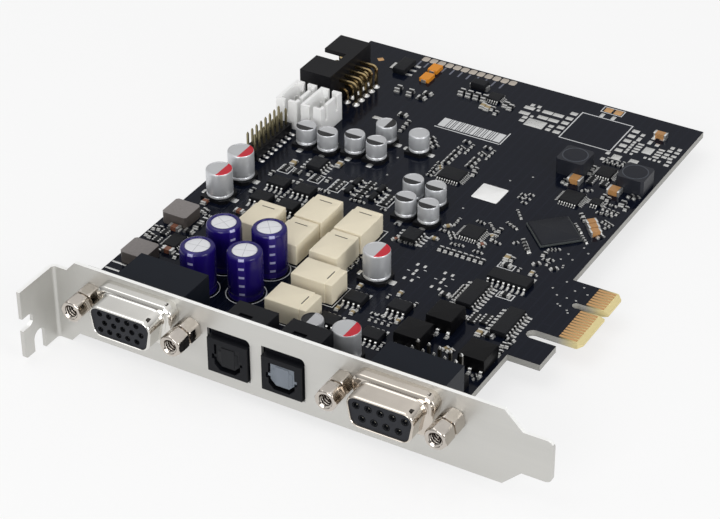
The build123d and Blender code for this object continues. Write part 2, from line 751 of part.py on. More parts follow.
# Chips in narrow bodies
narrow_chips = [(eight_along_x, 4, True), (eight_along_y, 4, False),
                (sixteen_along_x, 8, True), (sixteen_along_y, 8, False)]
with BuildPart() as chip_bodies:
    for spots, per_side, along_x in narrow_chips:
        length = (per_side - 1) * lead_pitch + 2 * lead_end_margin
        size = (length, narrow_width) if along_x else (narrow_width, length)
        block(spots, size[0], size[1], chip_standoff, chip_height)
save(chip_bodies, "narrow_chips")

# Square chips
with BuildPart() as gate_array:
    block([array_spot], array_side, array_side, 0, array_height, array_turn)
save(gate_array, "gate_array")

with BuildPart() as codecs:
    for spot, (length, width) in codec_spots:
        block([spot], length, width, 0, codec_height)
save(codecs, "square_chips")

# Regulator with a broad tab on one side and three leads on the other
regulator_x, regulator_y = regulator_spot
with BuildPart() as regulator:
    block([regulator_spot], regulator_width, regulator_length, 0, regulator_height)
save(regulator, "regulator")

with BuildPart() as regulator_leads:
    lead_middle = (regulator_width + regulator_lead_reach) / 2
    lead_rows = row(regulator_lead_count, regulator_lead_pitch)
    block([(regulator_x - lead_middle, regulator_y)], regulator_lead_reach, regulator_tab_width,
          0, lead_thickness)
    block([(regulator_x + lead_middle, regulator_y + offset) for offset in lead_rows],
          regulator_lead_reach, regulator_lead_width, 0, lead_thickness)
save(regulator_leads, "regulator_leads")

# Larger chip parts
with BuildPart() as diodes:
    block(diode_spots, diode_length, diode_width, 0, diode_height)
save(diodes, "diodes")

with BuildPart() as tantalums:
    block(tantalum_spots, tantalum_width, tantalum_length, 0, tantalum_height)
save(tantalums, "tantalum_capacitors")

with BuildPart() as ceramics:
    for spot, (length, width), turn in ceramic_spots:
        block([spot], length, width, 0, ceramic_height, turn)
save(ceramics, "ceramic_capacitors")
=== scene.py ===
# %% [markdown]
# # An internal sound card, dressed over its CAD frame
# The card is a dark glossy board on a folded steel bracket. Two D-shaped sockets, two optical jacks and four
# hexagonal jackscrews face the user, and the board carries relays, capacitors, headers and many small chips.
# The CAD frame gives the size and place of every main piece, so this lesson only adds finish and fine shape.

# %% Load the frame
from collections import namedtuple
from math import radians

import bmesh
import bpy
import numpy as np
from mathutils import Matrix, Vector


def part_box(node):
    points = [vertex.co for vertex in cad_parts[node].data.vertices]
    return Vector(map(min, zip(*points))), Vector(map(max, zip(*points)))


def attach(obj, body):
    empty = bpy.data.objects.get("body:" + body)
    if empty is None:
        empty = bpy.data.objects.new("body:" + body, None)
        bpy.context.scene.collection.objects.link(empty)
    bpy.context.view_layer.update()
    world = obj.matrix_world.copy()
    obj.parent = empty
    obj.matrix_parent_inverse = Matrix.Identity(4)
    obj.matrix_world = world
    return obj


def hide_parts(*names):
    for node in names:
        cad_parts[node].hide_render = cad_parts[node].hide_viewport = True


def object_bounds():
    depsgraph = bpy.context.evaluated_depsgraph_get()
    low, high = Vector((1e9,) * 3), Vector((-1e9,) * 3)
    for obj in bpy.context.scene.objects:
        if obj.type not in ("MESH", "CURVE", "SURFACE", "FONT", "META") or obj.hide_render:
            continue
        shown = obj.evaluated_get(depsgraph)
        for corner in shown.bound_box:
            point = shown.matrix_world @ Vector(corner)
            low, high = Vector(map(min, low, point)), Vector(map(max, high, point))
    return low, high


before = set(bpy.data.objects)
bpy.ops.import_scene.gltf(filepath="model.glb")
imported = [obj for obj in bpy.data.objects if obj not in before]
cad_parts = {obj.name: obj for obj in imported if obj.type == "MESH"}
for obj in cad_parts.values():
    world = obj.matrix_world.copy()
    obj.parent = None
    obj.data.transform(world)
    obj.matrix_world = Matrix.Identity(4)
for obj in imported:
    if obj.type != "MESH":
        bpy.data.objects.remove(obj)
cad_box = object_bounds()
print("CAD nodes:", len(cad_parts))

# %% [markdown]
# ## One set of measures
# A card maker measures from the bracket: x runs along it, y runs along the board, z rises from the component
# face, all in millimetres. The frame is in metres about the middle of the part. Rather than typing an offset,
# the offset is worked out from the corner of the board in the frame, so both always agree.

# %% Card millimetres to frame metres
MM = 0.001
BOARD_CORNER = np.array([-0.2, 1.26, -1.57])
BOARD_UNDER = BOARD_CORNER[2]
BOTH_SIDES = (-1, 1)
card_zero = np.array(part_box("circuit_board")[0]) - BOARD_CORNER * MM


def to_frame(points):
    """frame point = card zero + card point in metres."""
    return card_zero + np.asarray(points, float) * MM


def on_axis(axis, measure):
    """The frame coordinate, on axis 0, 1 or 2, of a card measure in millimetres."""
    return float(card_zero[axis] + measure * MM)


print("card zero in the frame:", card_zero.round(5))

# %% [markdown]
# ## Surfaces from loops
# Nearly every piece here is one closed loop of points carried along a path: a circle for a can, a rounded
# rectangle for a chip, a D for a socket, a small square for a wire. Blender's own primitives could be edited by
# hand, but a grid of points from a formula is exact and easy to change. A loft joins neighbouring loops with
# four-sided faces and closes each end with triangles to the middle of its loop. A hoop has no ends to close.

# %% Lofted, turned and hooped surfaces
Shape = namedtuple("Shape", "points quads tris own")


def weave(loops, closed=False):
    """Four-sided faces between neighbouring loops; a closed weave also joins the last loop to the first."""
    rows, columns = loops.shape[:2]
    i, j = np.meshgrid(np.arange(rows if closed else rows - 1), np.arange(columns), indexing="ij")
    near, far, after = i * columns, (i + 1) % rows * columns, (j + 1) % columns
    return np.stack([near + j, near + after, far + after, far + j], -1).reshape(-1, 4)


def loft(loops):
    """Surface(i, j) = point j of loop i; the loops are joined in order and both ends are capped."""
    loops = np.asarray(loops, float)
    rows, columns = loops.shape[:2]
    ring = np.arange(columns)
    ahead = (ring + 1) % columns
    last, count = (rows - 1) * columns, rows * columns
    first_cap = np.stack([np.full(columns, count), ahead, ring], -1)
    last_cap = np.stack([np.full(columns, count + 1), last + ring, last + ahead], -1)
    points = np.vstack([loops.reshape(-1, 3), loops[0].mean(0), loops[-1].mean(0)])
    return Shape(points, weave(loops), np.vstack([first_cap, last_cap]), points.copy())


def spun(radius, height, sides):
    """Point(i, angle) = (radius cos angle, radius sin angle, height i); the radius may change with the angle too."""
    angle = np.linspace(0, 2 * np.pi, sides, endpoint=False)
    return np.stack([radius * np.cos(angle), radius * np.sin(angle), np.repeat(height, sides, 1)], -1)


def turned(profile, sides=48):
    """Each (radius, height) of the profile spun into a loop, the loops lofted."""
    return loft(spun(*np.asarray(profile, float).T[..., None], sides))


def hoop(section, sides=56):
    """Each (radius, height) of the section spun about z; both ways round close on themselves."""
    loops = spun(*np.asarray(section, float).T[..., None], sides).swapaxes(0, 1)
    points = loops.reshape(-1, 3)
    return Shape(points, weave(loops, closed=True), np.zeros((0, 3), int), points.copy())


print("a four-loop tube has", len(loft(np.zeros((4, 8, 3))).quads), "quads")

# %% [markdown]
# A card has few shapes and many copies of them. Linked objects would also do for copies, but then each would be an
# object of its own. Here the points of one shape are turned and moved as whole arrays and stay in one mesh.

# %% Joining, copying and placing
def join(shapes):
    """Several shapes as one: the points are stacked and the face numbers are shifted to match."""
    shapes = list(shapes)
    starts = np.cumsum([0] + [len(shape.points) for shape in shapes[:-1]])
    return Shape(np.vstack([shape.points for shape in shapes]),
                 np.vstack([shape.quads + start for shape, start in zip(shapes, starts)]),
                 np.vstack([shape.tris + start for shape, start in zip(shapes, starts)]),
                 np.vstack([shape.own for shape in shapes]))


def repeat(shape, spots, turns=0.0):
    """Copy k: point = spot k + the shape's point turned about z by turn k degrees; own keeps the unplaced point."""
    spots = np.array([tuple(spot) + (0.0,) * (3 - len(spot)) for spot in spots], float)
    count, size = len(spots), len(shape.points)
    angle = np.radians(np.broadcast_to(np.asarray(turns, float), (count,)))
    cosine, sine = np.cos(angle)[:, None], np.sin(angle)[:, None]
    x, y, z = shape.points.T
    placed = np.stack([cosine * x - sine * y, sine * x + cosine * y, np.broadcast_to(z, (count, size))], -1)
    shift = (np.arange(count) * size)[:, None, None]
    return Shape((placed + spots[:, None]).reshape(-1, 3), (shape.quads + shift).reshape(-1, 4),
                 (shape.tris + shift).reshape(-1, 3), np.tile(shape.own, (count, 1)))


def facing_out(shape, x, y, z):
    """Turns a shape built up its own z axis so that this axis points out of the bracket, towards minus y."""
    a, b, c = shape.points.T
    return shape._replace(points=np.stack([x + a, y - c, z + b], -1))


def shifted(shape, x=0.0, y=0.0, z=0.0):
    """The same shape moved as a whole, before it is copied."""
    moved = shape.points + np.array([x, y, z])
    return shape._replace(points=moved, own=moved)


def mirrored_pair(shape, reach):
    """Two copies of a shape, moved by reach to either side along x."""
    return join([shifted(shape, x=side * reach) for side in BOTH_SIDES])


print("a pair of tubes has", len(mirrored_pair(loft(np.zeros((4, 8, 3))), 1.0).quads), "quads")

# %% [markdown]
# ## Outlines
# Besides the turned profile, three outlines are enough. The rounded rectangle is four quarter circles. A moulded
# block stacks such rectangles, each pulled in a little, which gives the draft and the soft edges that real mouldings
# have and that catch the light. The flat wire carries a small rectangle along a bent path, as a lead-forming tool does.

# %% Moulded and bent shapes, and rows of places
LEAST_CORNER = 0.02


def rounded_rectangle(length, width, corner, per_corner=4):
    """Four quarter circles about the inset corners, anticlockwise, joined by the straight sides."""
    quarter = np.arange(4)[:, None] * np.pi / 2 + np.linspace(0, np.pi / 2, per_corner)
    side_x = np.array([1, -1, -1, 1])[:, None] * (length / 2 - corner)
    side_y = np.array([1, 1, -1, -1])[:, None] * (width / 2 - corner)
    return np.stack([side_x + corner * np.cos(quarter), side_y + corner * np.sin(quarter)], -1).reshape(-1, 2)


def moulded(length, width, profile, corner=0.15, per_corner=3):
    """Stack of rounded rectangles: each row of the profile is (inset of every side, height)."""
    loops = []
    least = LEAST_CORNER if per_corner > 1 else 0.0
    for inset, height in profile:
        radius = max(corner - inset / 2, least)
        flat = rounded_rectangle(length - 2 * inset, width - 2 * inset, radius, per_corner)
        loops.append(np.column_stack([flat, np.full(len(flat), height)]))
    return loft(loops)


def plate(length, width, low, high):
    """Plain rectangular plate between two heights, for thin things such as pads and ink."""
    return moulded(length, width, [(0, low), (0, high)], corner=0.0, per_corner=1)


def flat_wire(path, width, thickness, scale=1.0):
    """A rectangle, width along y and thickness across the path, carried along a path in the x z plane."""
    path = np.asarray(path, float)
    step = np.gradient(path, axis=0)
    step /= np.linalg.norm(step, axis=1, keepdims=True)
    size = np.broadcast_to(np.asarray(scale, float), (len(path),))[:, None] / 2
    across = np.stack([-step[:, 1], step[:, 0]], -1) * thickness * size
    half = width * size[:, 0]
    edges = [(path - across, -half), (path - across, half), (path + across, half), (path + across, -half)]
    return loft(np.stack([np.stack([edge[:, 0], y, edge[:, 1]], -1) for edge, y in edges], 1))


def bend(centre, radius, start, end, points=6):
    """Arc of a path: centre plus radius times (cos, sin) between two angles in degrees."""
    angle = np.radians(np.linspace(start, end, points))
    return np.stack([centre[0] + radius * np.cos(angle), centre[1] + radius * np.sin(angle)], -1)


def spread(count, pitch):
    """Evenly spaced places, centred on zero."""
    return (np.arange(count) - (count - 1) / 2) * pitch


def row_of(x, y, count=1, step_x=0.0, step_y=0.0):
    """Places first + k * step."""
    return [(x + k * step_x, y + k * step_y) for k in range(count)]


def in_rows(shape, rows, turn=0.0):
    """Copies of a shape along several rows."""
    return repeat(shape, [place for row in rows for place in row_of(*row)], turn)


print("a rounded rectangle has", len(rounded_rectangle(4, 2, 0.3)), "points")

# %% [markdown]
# ## From shape to piece
# A piece is one mesh with one or more materials. Its points go in as whole arrays, its faces are turned outwards,
# and edges sharper than an angle stay crisp while the rest is smooth. Every point also keeps its place on the
# single unplaced copy in an attribute, so that a finish can draw a mark on each of many copies.

# %% Making a piece
def make_piece(name, parts, body="card", stands_for=(), crease=35):
    """Joins (shape, material) parts into one object in the frame, riding on a body."""
    whole = join([shape for shape, _ in parts])
    mesh = bpy.data.meshes.new(name)
    mesh.from_pydata(to_frame(whole.points).tolist(), [], whole.quads.tolist() + whole.tris.tolist())
    numbers = np.concatenate([np.full(len(shape.quads), n) for n, (shape, _) in enumerate(parts)]
                             + [np.full(len(shape.tris), n) for n, (shape, _) in enumerate(parts)])
    mesh.polygons.foreach_set("material_index", numbers.astype(np.int32))
    own = mesh.attributes.new("own_place", "FLOAT_VECTOR", "POINT")
    own.data.foreach_set("vector", whole.own.astype(np.float32).ravel())
    for _, material in parts:
        mesh.materials.append(material)
    work = bmesh.new()
    work.from_mesh(mesh)
    bmesh.ops.recalc_face_normals(work, faces=work.faces)
    work.to_mesh(mesh)
    work.free()
    mesh.polygons.foreach_set("use_smooth", np.ones(len(mesh.polygons), bool))
    mesh.set_sharp_from_angle(angle=radians(crease))
    piece = bpy.data.objects.new(name, mesh)
    bpy.context.scene.collection.objects.link(piece)
    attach(piece, body)
    if stands_for:
        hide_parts(*stands_for)
    print(name, len(mesh.polygons), "faces")


def numbered(stem, count):
    """Node names stem_1, stem_2 and so on."""
    return [f"{stem}_{number}" for number in range(1, count + 1)]


print("numbered nodes:", *numbered("relay", 7))

# %% [markdown]
# ## Short words for nodes
# A finish is a small graph of shader nodes. Placing and linking each node by hand takes many lines, so one helper
# makes a node from its kind, its settings and its inputs, where an input is either a link or a value. Masks are
# nodes that give 1 or 0, and a colour is chosen by mixing two colours with a mask.

# %% Nodes, masks and mixed colours
def fill(tree, node, inputs):
    """Each input takes a socket to link or a value to hold."""
    for key, value in dict(inputs).items():
        if isinstance(value, bpy.types.NodeSocket):
            tree.links.new(value, node.inputs[key])
        else:
            node.inputs[key].default_value = value


def wired(tree, kind, inputs=(), **settings):
    """A new shader node with its settings made and its inputs filled."""
    node = tree.nodes.new("ShaderNode" + kind)
    for name, value in settings.items():
        setattr(node, name, value)
    fill(tree, node, inputs)
    return node


def sums(tree, operation, *values):
    """The result of one Math node."""
    return wired(tree, "Math", enumerate(values), operation=operation).outputs[0]


def above(tree, source, level):
    """1 where the source is greater than the level, else 0."""
    return sums(tree, "GREATER_THAN", source, level)


def below(tree, source, level):
    """1 where the source is less than the level, else 0."""
    return sums(tree, "LESS_THAN", source, level)


def within(tree, source, middle, reach):
    """1 where the source lies within reach of the middle, else 0."""
    return sums(tree, "COMPARE", source, middle, reach)


def both(tree, first, second):
    """The product of two masks: 1 only where both are 1."""
    return sums(tree, "MULTIPLY", first, second)


def mix_colour(tree, mask, first, second):
    """first where the mask is 0 and second where it is 1."""
    return wired(tree, "Mix", {"Factor": mask, "A": first, "B": second}, data_type="RGBA").outputs["Result"]


def feed(tree, inputs):
    """Fills inputs of the material's own shader."""
    fill(tree, tree.nodes["Principled BSDF"], inputs)


def ink(red, green, blue):
    """Screen value to linear light: ((v / 255 + 0.055) / 1.055) to the power 2.4, or v / 12.92 when dark."""
    value = np.array([red, green, blue]) / 255.0
    linear = np.where(value > 0.04045, ((value + 0.055) / 1.055) ** 2.4, value / 12.92)
    return tuple(float(v) for v in linear) + (1.0,)


print("mid grey in linear light:", ink(128, 128, 128)[0])

# %% [markdown]
# ## Unevenness shared by many finishes
# No moulded, rolled or plated surface is one flat colour. A single shader node group gives a slow change of tone,
# a change of gloss and a fine relief from two noises. Stretching its coordinates turns the same grain into drawn
# or brushed lines. It could be copied into each material, but as a group it is built once and only its inputs vary.

# %% The uneven finish group
NOISE_DETAIL = 3.0
GROUP_INPUTS = {"Place": ("Vector", None), "Stretch": ("Vector", (1.0, 1.0, 1.0)),
                "Colour": ("Color", (0.5, 0.5, 0.5, 1.0)), "Colour Spread": ("Float", 0.1),
                "Roughness": ("Float", 0.4), "Roughness Spread": ("Float", 0.1),
                "Broad Scale": ("Float", 300.0), "Fine Scale": ("Float", 4000.0)}
GROUP_OUTPUTS = {"Colour": "Color", "Roughness": "Float", "Height": "Float"}


def uneven_group():
    """Colour follows a broad noise, gloss and height follow a fine one, both on stretched coordinates."""
    group = bpy.data.node_groups.new("uneven_finish", "ShaderNodeTree")
    for name, (kind, value) in GROUP_INPUTS.items():
        made = group.interface.new_socket(name, in_out="INPUT", socket_type="NodeSocket" + kind)
        if value is not None:
            made.default_value = value
    for name, kind in GROUP_OUTPUTS.items():
        group.interface.new_socket(name, in_out="OUTPUT", socket_type="NodeSocket" + kind)
    given, result = group.nodes.new("NodeGroupInput").outputs, group.nodes.new("NodeGroupOutput")
    place = wired(group, "VectorMath", {0: given["Place"], 1: given["Stretch"]}, operation="MULTIPLY").outputs[0]
    broad, fine = (wired(group, "TexNoise", {"Vector": place, "Scale": given[scale], "Detail": NOISE_DETAIL}).outputs[0]
                   for scale in ("Broad Scale", "Fine Scale"))

    def swing(noise, spread_name):
        """(2 noise - 1) * spread"""
        return both(group, sums(group, "MULTIPLY_ADD", noise, 2.0, -1.0), given[spread_name])

    lift = sums(group, "ADD", swing(broad, "Colour Spread"), 1.0)
    tone = wired(group, "VectorMath", {0: given["Colour"], "Scale": lift}, operation="SCALE").outputs[0]
    gloss = sums(group, "ADD", given["Roughness"], swing(fine, "Roughness Spread"))
    fill(group, result, {"Colour": tone, "Roughness": gloss, "Height": fine})
    return group


UNEVEN = uneven_group()
print("group sockets:", [item.name for item in UNEVEN.interface.items_tree])

# %% [markdown]
# ## Plain finishes
# Each finish states its colour as it looks on a screen, its gloss and how much it varies, and leaves the rest to
# the group. Colours are written as screen values from 0 to 255 and turned to the linear values that Blender
# wants. Metals get the metallic switch, plastics and paints do not. White nylon also lets a little light in.

# %% Building a finish
RELIEF_DEPTH = 0.0001


def finish(name, colour, roughness, metallic=0.0, spread_out=0.1, gloss_spread=0.06, broad=300.0, fine=4000.0,
           relief=0.05, stretch=(1.0, 1.0, 1.0), specular=0.5, coat=0.0):
    """A material whose colour, roughness and bump come from the uneven group, on object coordinates."""
    material = bpy.data.materials.new(name)
    material.use_nodes = True
    tree = material.node_tree
    place = wired(tree, "TexCoord", name="place").outputs["Object"]
    grain = wired(tree, "Group", {"Place": place, "Stretch": stretch, "Colour": ink(*colour),
                                  "Colour Spread": spread_out, "Roughness": roughness,
                                  "Roughness Spread": gloss_spread, "Broad Scale": broad, "Fine Scale": fine},
                  node_tree=UNEVEN, name="grain").outputs
    bump = wired(tree, "Bump", {"Height": grain["Height"], "Strength": relief, "Distance": RELIEF_DEPTH})
    feed(tree, {"Base Color": grain["Colour"], "Roughness": grain["Roughness"], "Normal": bump.outputs["Normal"],
                "Metallic": metallic, "Specular IOR Level": specular, "Coat Weight": coat})
    return material


def grain_colour(tree):
    """The uneven colour that a finish starts from."""
    return tree.nodes["grain"].outputs["Colour"]


print("relief of every finish, in metres:", RELIEF_DEPTH)

# %% [markdown]
# Metals first. Steel is rolled, so its grain is drawn out along the bracket. Nickel plating is almost a mirror, gold
# and solder are duller, and solder has the strongest relief because it sets from a melt.

# %% Metals
STEEL_METALLIC = 0.75
bracket_steel = finish("bracket_steel", (200, 199, 195), 0.42, metallic=STEEL_METALLIC, spread_out=0.06,
                       gloss_spread=0.08, broad=220.0, fine=2600.0, relief=0.04, stretch=(0.05, 1.0, 1.0))
shell_nickel = finish("shell_nickel", (218, 216, 211), 0.07, metallic=1.0, spread_out=0.08, gloss_spread=0.08)
shell_bronze = finish("shell_bronze", (203, 195, 185), 0.08, metallic=1.0, gloss_spread=0.08)
jack_nickel = finish("jack_nickel", (194, 187, 179), 0.10, metallic=1.0, spread_out=0.14, relief=0.06)
contact_gold = finish("contact_gold", (218, 172, 120), 0.24, metallic=1.0, spread_out=0.08)
pin_gold = finish("pin_gold", (188, 166, 122), 0.24, metallic=1.0, spread_out=0.12)
post_brass = finish("post_brass", (146, 138, 110), 0.30, metallic=0.9, spread_out=0.14)
# painted shade and painted highlight: a darkened pin metal whose tips are painted near white further down
pin_painted_shade_and_highlight = finish("pin_painted_shade_and_highlight", (78, 75, 70), 0.28, metallic=0.9, spread_out=0.12)
tinned = finish("tinned", (214, 214, 212), 0.30, metallic=0.85, spread_out=0.12, gloss_spread=0.12, relief=0.25,
                fine=2500.0)
bare_copper = finish("bare_copper", (196, 186, 174), 0.32, metallic=0.6, spread_out=0.14)
# painted shade: dark metal standing for the pit of each punched dimple
painted_dimple_shade = finish("painted_dimple_shade", (58, 54, 50), 0.40, metallic=0.8)
print("metals:", len(bpy.data.materials))

# %% [markdown]
# Plastics, ferrites, ceramics, ink and paper differ in colour, in grain and in how much light they mirror. Black parts
# get a low specular level, because white surroundings would otherwise wash them out to grey.

# %% Plastics, ferrites, ceramics and ink
# painted shade: a near-black finish for the rings round the socket bores
painted_bore_shade = finish("painted_bore_shade", (4, 4, 5), 0.60, specular=0.05)
insert_plastic = finish("insert_plastic", (28, 30, 36), 0.38, relief=0.10, specular=0.25)
socket_plastic = finish("socket_plastic", (21, 25, 33), 0.36, relief=0.12, fine=6000.0, specular=0.09)
optical_plastic = finish("optical_plastic", (19, 20, 24), 0.32, relief=0.12, fine=5000.0, specular=0.13)
shutter_black = finish("shutter_black", (23, 24, 27), 0.36, relief=0.10, specular=0.16)
shutter_grey = finish("shutter_grey", (112, 119, 128), 0.40, relief=0.10, specular=0.3)
relay_cream = finish("relay_cream", (232, 222, 198), 0.42, spread_out=0.03, relief=0.08, specular=0.3)
relay_ink = finish("relay_ink", (70, 66, 60), 0.5)
header_black = finish("header_black", (19, 19, 22), 0.40, relief=0.12, specular=0.13)
plug_white = finish("plug_white", (246, 246, 245), 0.38, spread_out=0.02, relief=0.06)
choke_grey = finish("choke_grey", (130, 125, 123), 0.50, spread_out=0.16, broad=1800.0, relief=0.30, fine=6000.0,
                    specular=0.3)
inductor_black = finish("inductor_black", (32, 34, 41), 0.42, spread_out=0.25, relief=0.20, specular=0.25)
disc_black = finish("disc_black", (18, 21, 31), 0.40, spread_out=0.14, relief=0.15, specular=0.22)
disc_rim = finish("disc_rim", (66, 70, 78), 0.45, spread_out=0.2, relief=0.2, specular=0.3)
chip_black = finish("chip_black", (24, 25, 28), 0.46, spread_out=0.16, relief=0.25, fine=9000.0, specular=0.14)
transformer_black = finish("transformer_black", (9, 9, 11), 0.40, spread_out=0.16, relief=0.2, fine=9000.0,
                           specular=0.12)
array_black = finish("array_black", (28, 30, 36), 0.44, relief=0.2, fine=9000.0, specular=0.17)
array_edge = finish("array_edge", (62, 66, 66), 0.45, specular=0.3)
tantalum_orange = finish("tantalum_orange", (222, 142, 40), 0.46, spread_out=0.12, relief=0.10, specular=0.3)
ceramic_tan = finish("ceramic_tan", (176, 130, 82), 0.38, spread_out=0.16, relief=0.08, specular=0.3)
ceramic_pale = finish("ceramic_pale", (158, 140, 104), 0.38, spread_out=0.14, relief=0.08, specular=0.3)
ceramic_brown = finish("ceramic_brown", (128, 84, 66), 0.40, spread_out=0.14, relief=0.08, specular=0.3)
board_ink = finish("board_ink", (212, 213, 214), 0.55, spread_out=0.06, relief=0.10, fine=7000.0, specular=0.2)
track_grey = finish("track_grey", (104, 107, 120), 0.30, spread_out=0.08, specular=0.3)
label_paper = finish("label_paper", (244, 244, 243), 0.60, spread_out=0.02, relief=0.20, fine=7000.0, specular=0.2)
feed(plug_white.node_tree, {"Subsurface Weight": 0.35, "Subsurface Radius": (1.0, 1.0, 1.0),
                            "Subsurface Scale": 0.0015})
print("plain finishes:", len(bpy.data.materials))

# %% [markdown]
# ## The board
# The board is glass cloth and resin under a dark glossy mask. Its cut edges show the grey laminate, its slot tongue
# is bare resin between the contacts, and copper tracks under the mask show as faint lines. One material can do all
# of this from the place on the board: height tells the cut edges from the faces, and x tells the tongue. Tracks
# could be modelled one by one, but they are thinner than a hair, so the joints of a brick pattern are enough.

# %% Solder mask, laminate and tracks
MASK_END_X, BARE_FROM_X, TONGUE_NEAR_Y, EDGE_BAND = 99.2, 103.2, 44.0, 0.06
EDGE_DULLNESS = 0.5
PLIES = {"Scale": 900.0, "Distortion": 1.5}
TRACKS = {"Scale": 110.0, "Mortar Size": 0.03, "Mortar Smooth": 0.3, "Brick Width": 1.7}
TRACK_TURN = (0.0, 0.0, radians(90.0))

solder_mask = finish("solder_mask", (13, 17, 29), 0.13, gloss_spread=0.03, broad=60.0, fine=1500.0, relief=0.06,
                     specular=0.10)
tree = solder_mask.node_tree
place = tree.nodes["place"].outputs["Object"]
axes = wired(tree, "SeparateXYZ", {"Vector": place}).outputs
half_thickness = -BOARD_UNDER / 2
cut_edge = within(tree, axes["Z"], on_axis(2, -half_thickness), (half_thickness - EDGE_BAND) * MM)
fade = wired(tree, "MapRange", {"Value": axes["X"], "From Min": on_axis(0, MASK_END_X),
                                "From Max": on_axis(0, BARE_FROM_X)}).outputs["Result"]
bare_tongue = both(tree, fade, above(tree, axes["Y"], on_axis(1, TONGUE_NEAR_Y)))
along_y = wired(tree, "Mapping", {"Vector": place, "Rotation": TRACK_TURN}).outputs["Vector"]
tracks = wired(tree, "TexBrick", {"Vector": along_y, **TRACKS}).outputs["Fac"]
plies = wired(tree, "TexWave", {"Vector": place, **PLIES}, bands_direction="Z").outputs["Fac"]
tracked = mix_colour(tree, tracks, grain_colour(tree), ink(17, 21, 33))
laminate = mix_colour(tree, plies, ink(150, 149, 146), ink(176, 175, 170))
edged = mix_colour(tree, cut_edge, tracked, laminate)
dull_edge = sums(tree, "MULTIPLY_ADD", cut_edge, EDGE_DULLNESS, tree.nodes["grain"].outputs["Roughness"])
feed(tree, {"Base Color": mix_colour(tree, bare_tongue, edged, ink(218, 203, 150)), "Roughness": dull_edge})
print("board finish nodes:", len(tree.nodes))

# %% [markdown]
# ## Finishes that follow each copy
# A capacitor carries its mark in its own coordinates: a coloured segment on the flat top of a can, a lighter band
# of dashes down a sleeve. Object coordinates would need one material per can. The own_place attribute holds each
# point's place on the single can before it was copied, so one material marks them all.

# %% Cans with a marked top
POLYMER_RADIUS, POLYMER_TOP = 3.15, 7.7
FILTER_RADIUS, FILTER_TOP = 2.5, 5.5
CAN_FOOT, TOP_SINK, TOP_MARGIN = 0.9, 0.12, 0.02
CAN_METALLIC, CAN_TOP_METALLIC = 0.55, 0.25
NOWHERE = 9.0


def own_axes(tree):
    """x, y and z on the unplaced copy, in millimetres."""
    own = wired(tree, "Attribute", attribute_name="own_place").outputs["Vector"]
    return wired(tree, "SeparateXYZ", {"Vector": own}).outputs


def marked_can(name, mark, mark_from, top):
    """Drawn aluminium whose flat top is paler, with a segment beyond x = mark_from in the mark's colour."""
    material = finish(name, (214, 216, 219), 0.40, metallic=CAN_METALLIC, spread_out=0.08, relief=0.06, fine=3000.0,
                      stretch=(1.0, 1.0, 0.08))
    tree = material.node_tree
    own = own_axes(tree)
    flat_top = above(tree, own["Z"], top - TOP_SINK - TOP_MARGIN)
    segment = both(tree, flat_top, above(tree, own["X"], mark_from))
    paler = mix_colour(tree, flat_top, grain_colour(tree), ink(190, 191, 193))
    dull = sums(tree, "MULTIPLY_ADD", flat_top, CAN_TOP_METALLIC - CAN_METALLIC, CAN_METALLIC)
    feed(tree, {"Base Color": mix_colour(tree, segment, paler, ink(*mark)), "Metallic": dull})
    return material


polymer_can_metal = marked_can("polymer_can_metal", (196, 28, 46), 0.85, POLYMER_TOP)
filter_can_metal = marked_can("filter_can_metal", (20, 20, 22), 0.5, FILTER_TOP)
plain_can_metal = marked_can("plain_can_metal", (20, 20, 22), NOWHERE, FILTER_TOP)
print("marked cans:", polymer_can_metal.name, filter_can_metal.name, plain_can_metal.name)

# %% [markdown]
# The sleeves and the pins of the rear header are marked the same way. The silver tops are scored with a cross, so
# that they open there under pressure, and the roots of the jackscrew threads are darkened as painted shade.

# %% Sleeves, scored tops, painted thread shade and painted pin-tip highlights
BAND_HALF, DASH_HALF, BAND_BELOW_Y = 0.9, 0.62, -1.0
DASH_PITCH, DASH_SHARE = 1.1, 0.28
SCORE_HALF = 0.06
ROOT_SQUARE, ROOT_MARGIN, BORE_MIDDLE, BORE_REACH = 2.2, 0.26, 6.25, 1.75
REAR_TOP, TIP_LENGTH, TIP_MARGIN = 8.5, 0.5, 0.1

sleeve_film = finish("sleeve_film", (25, 13, 92), 0.24, spread_out=0.14, broad=200.0, relief=0.03, specular=0.3,
                     coat=0.1)
tree = sleeve_film.node_tree
own = own_axes(tree)
band = both(tree, within(tree, own["X"], 0.0, BAND_HALF), below(tree, own["Y"], BAND_BELOW_Y))
dash = both(tree, band, within(tree, own["X"], 0.0, DASH_HALF))
dash = both(tree, dash, below(tree, sums(tree, "PINGPONG", own["Z"], DASH_PITCH), DASH_SHARE))
banded = mix_colour(tree, band, grain_colour(tree), ink(40, 28, 108))
feed(tree, {"Base Color": mix_colour(tree, dash, banded, ink(168, 168, 206))})

sleeve_top = finish("sleeve_top", (228, 229, 232), 0.38, metallic=0.35, spread_out=0.04, relief=0.08)
tree = sleeve_top.node_tree
own = own_axes(tree)
cross = sums(tree, "MAXIMUM", *(within(tree, own[axis], 0.0, SCORE_HALF) for axis in "XY"))
feed(tree, {"Base Color": mix_colour(tree, cross, grain_colour(tree), ink(184, 185, 188))})

tree = jack_nickel.node_tree
own = own_axes(tree)
radius_squared = sums(tree, "ADD", *(both(tree, own[axis], own[axis]) for axis in "XY"))
# painted shade: the outer part of the bore's thread, its groove roots, is darkened
painted_thread_shade = both(tree, within(tree, radius_squared, ROOT_SQUARE, ROOT_MARGIN),
            within(tree, own["Z"], BORE_MIDDLE, BORE_REACH))
feed(tree, {"Base Color": mix_colour(tree, painted_thread_shade, grain_colour(tree), ink(58, 53, 48))})

tree = pin_painted_shade_and_highlight.node_tree
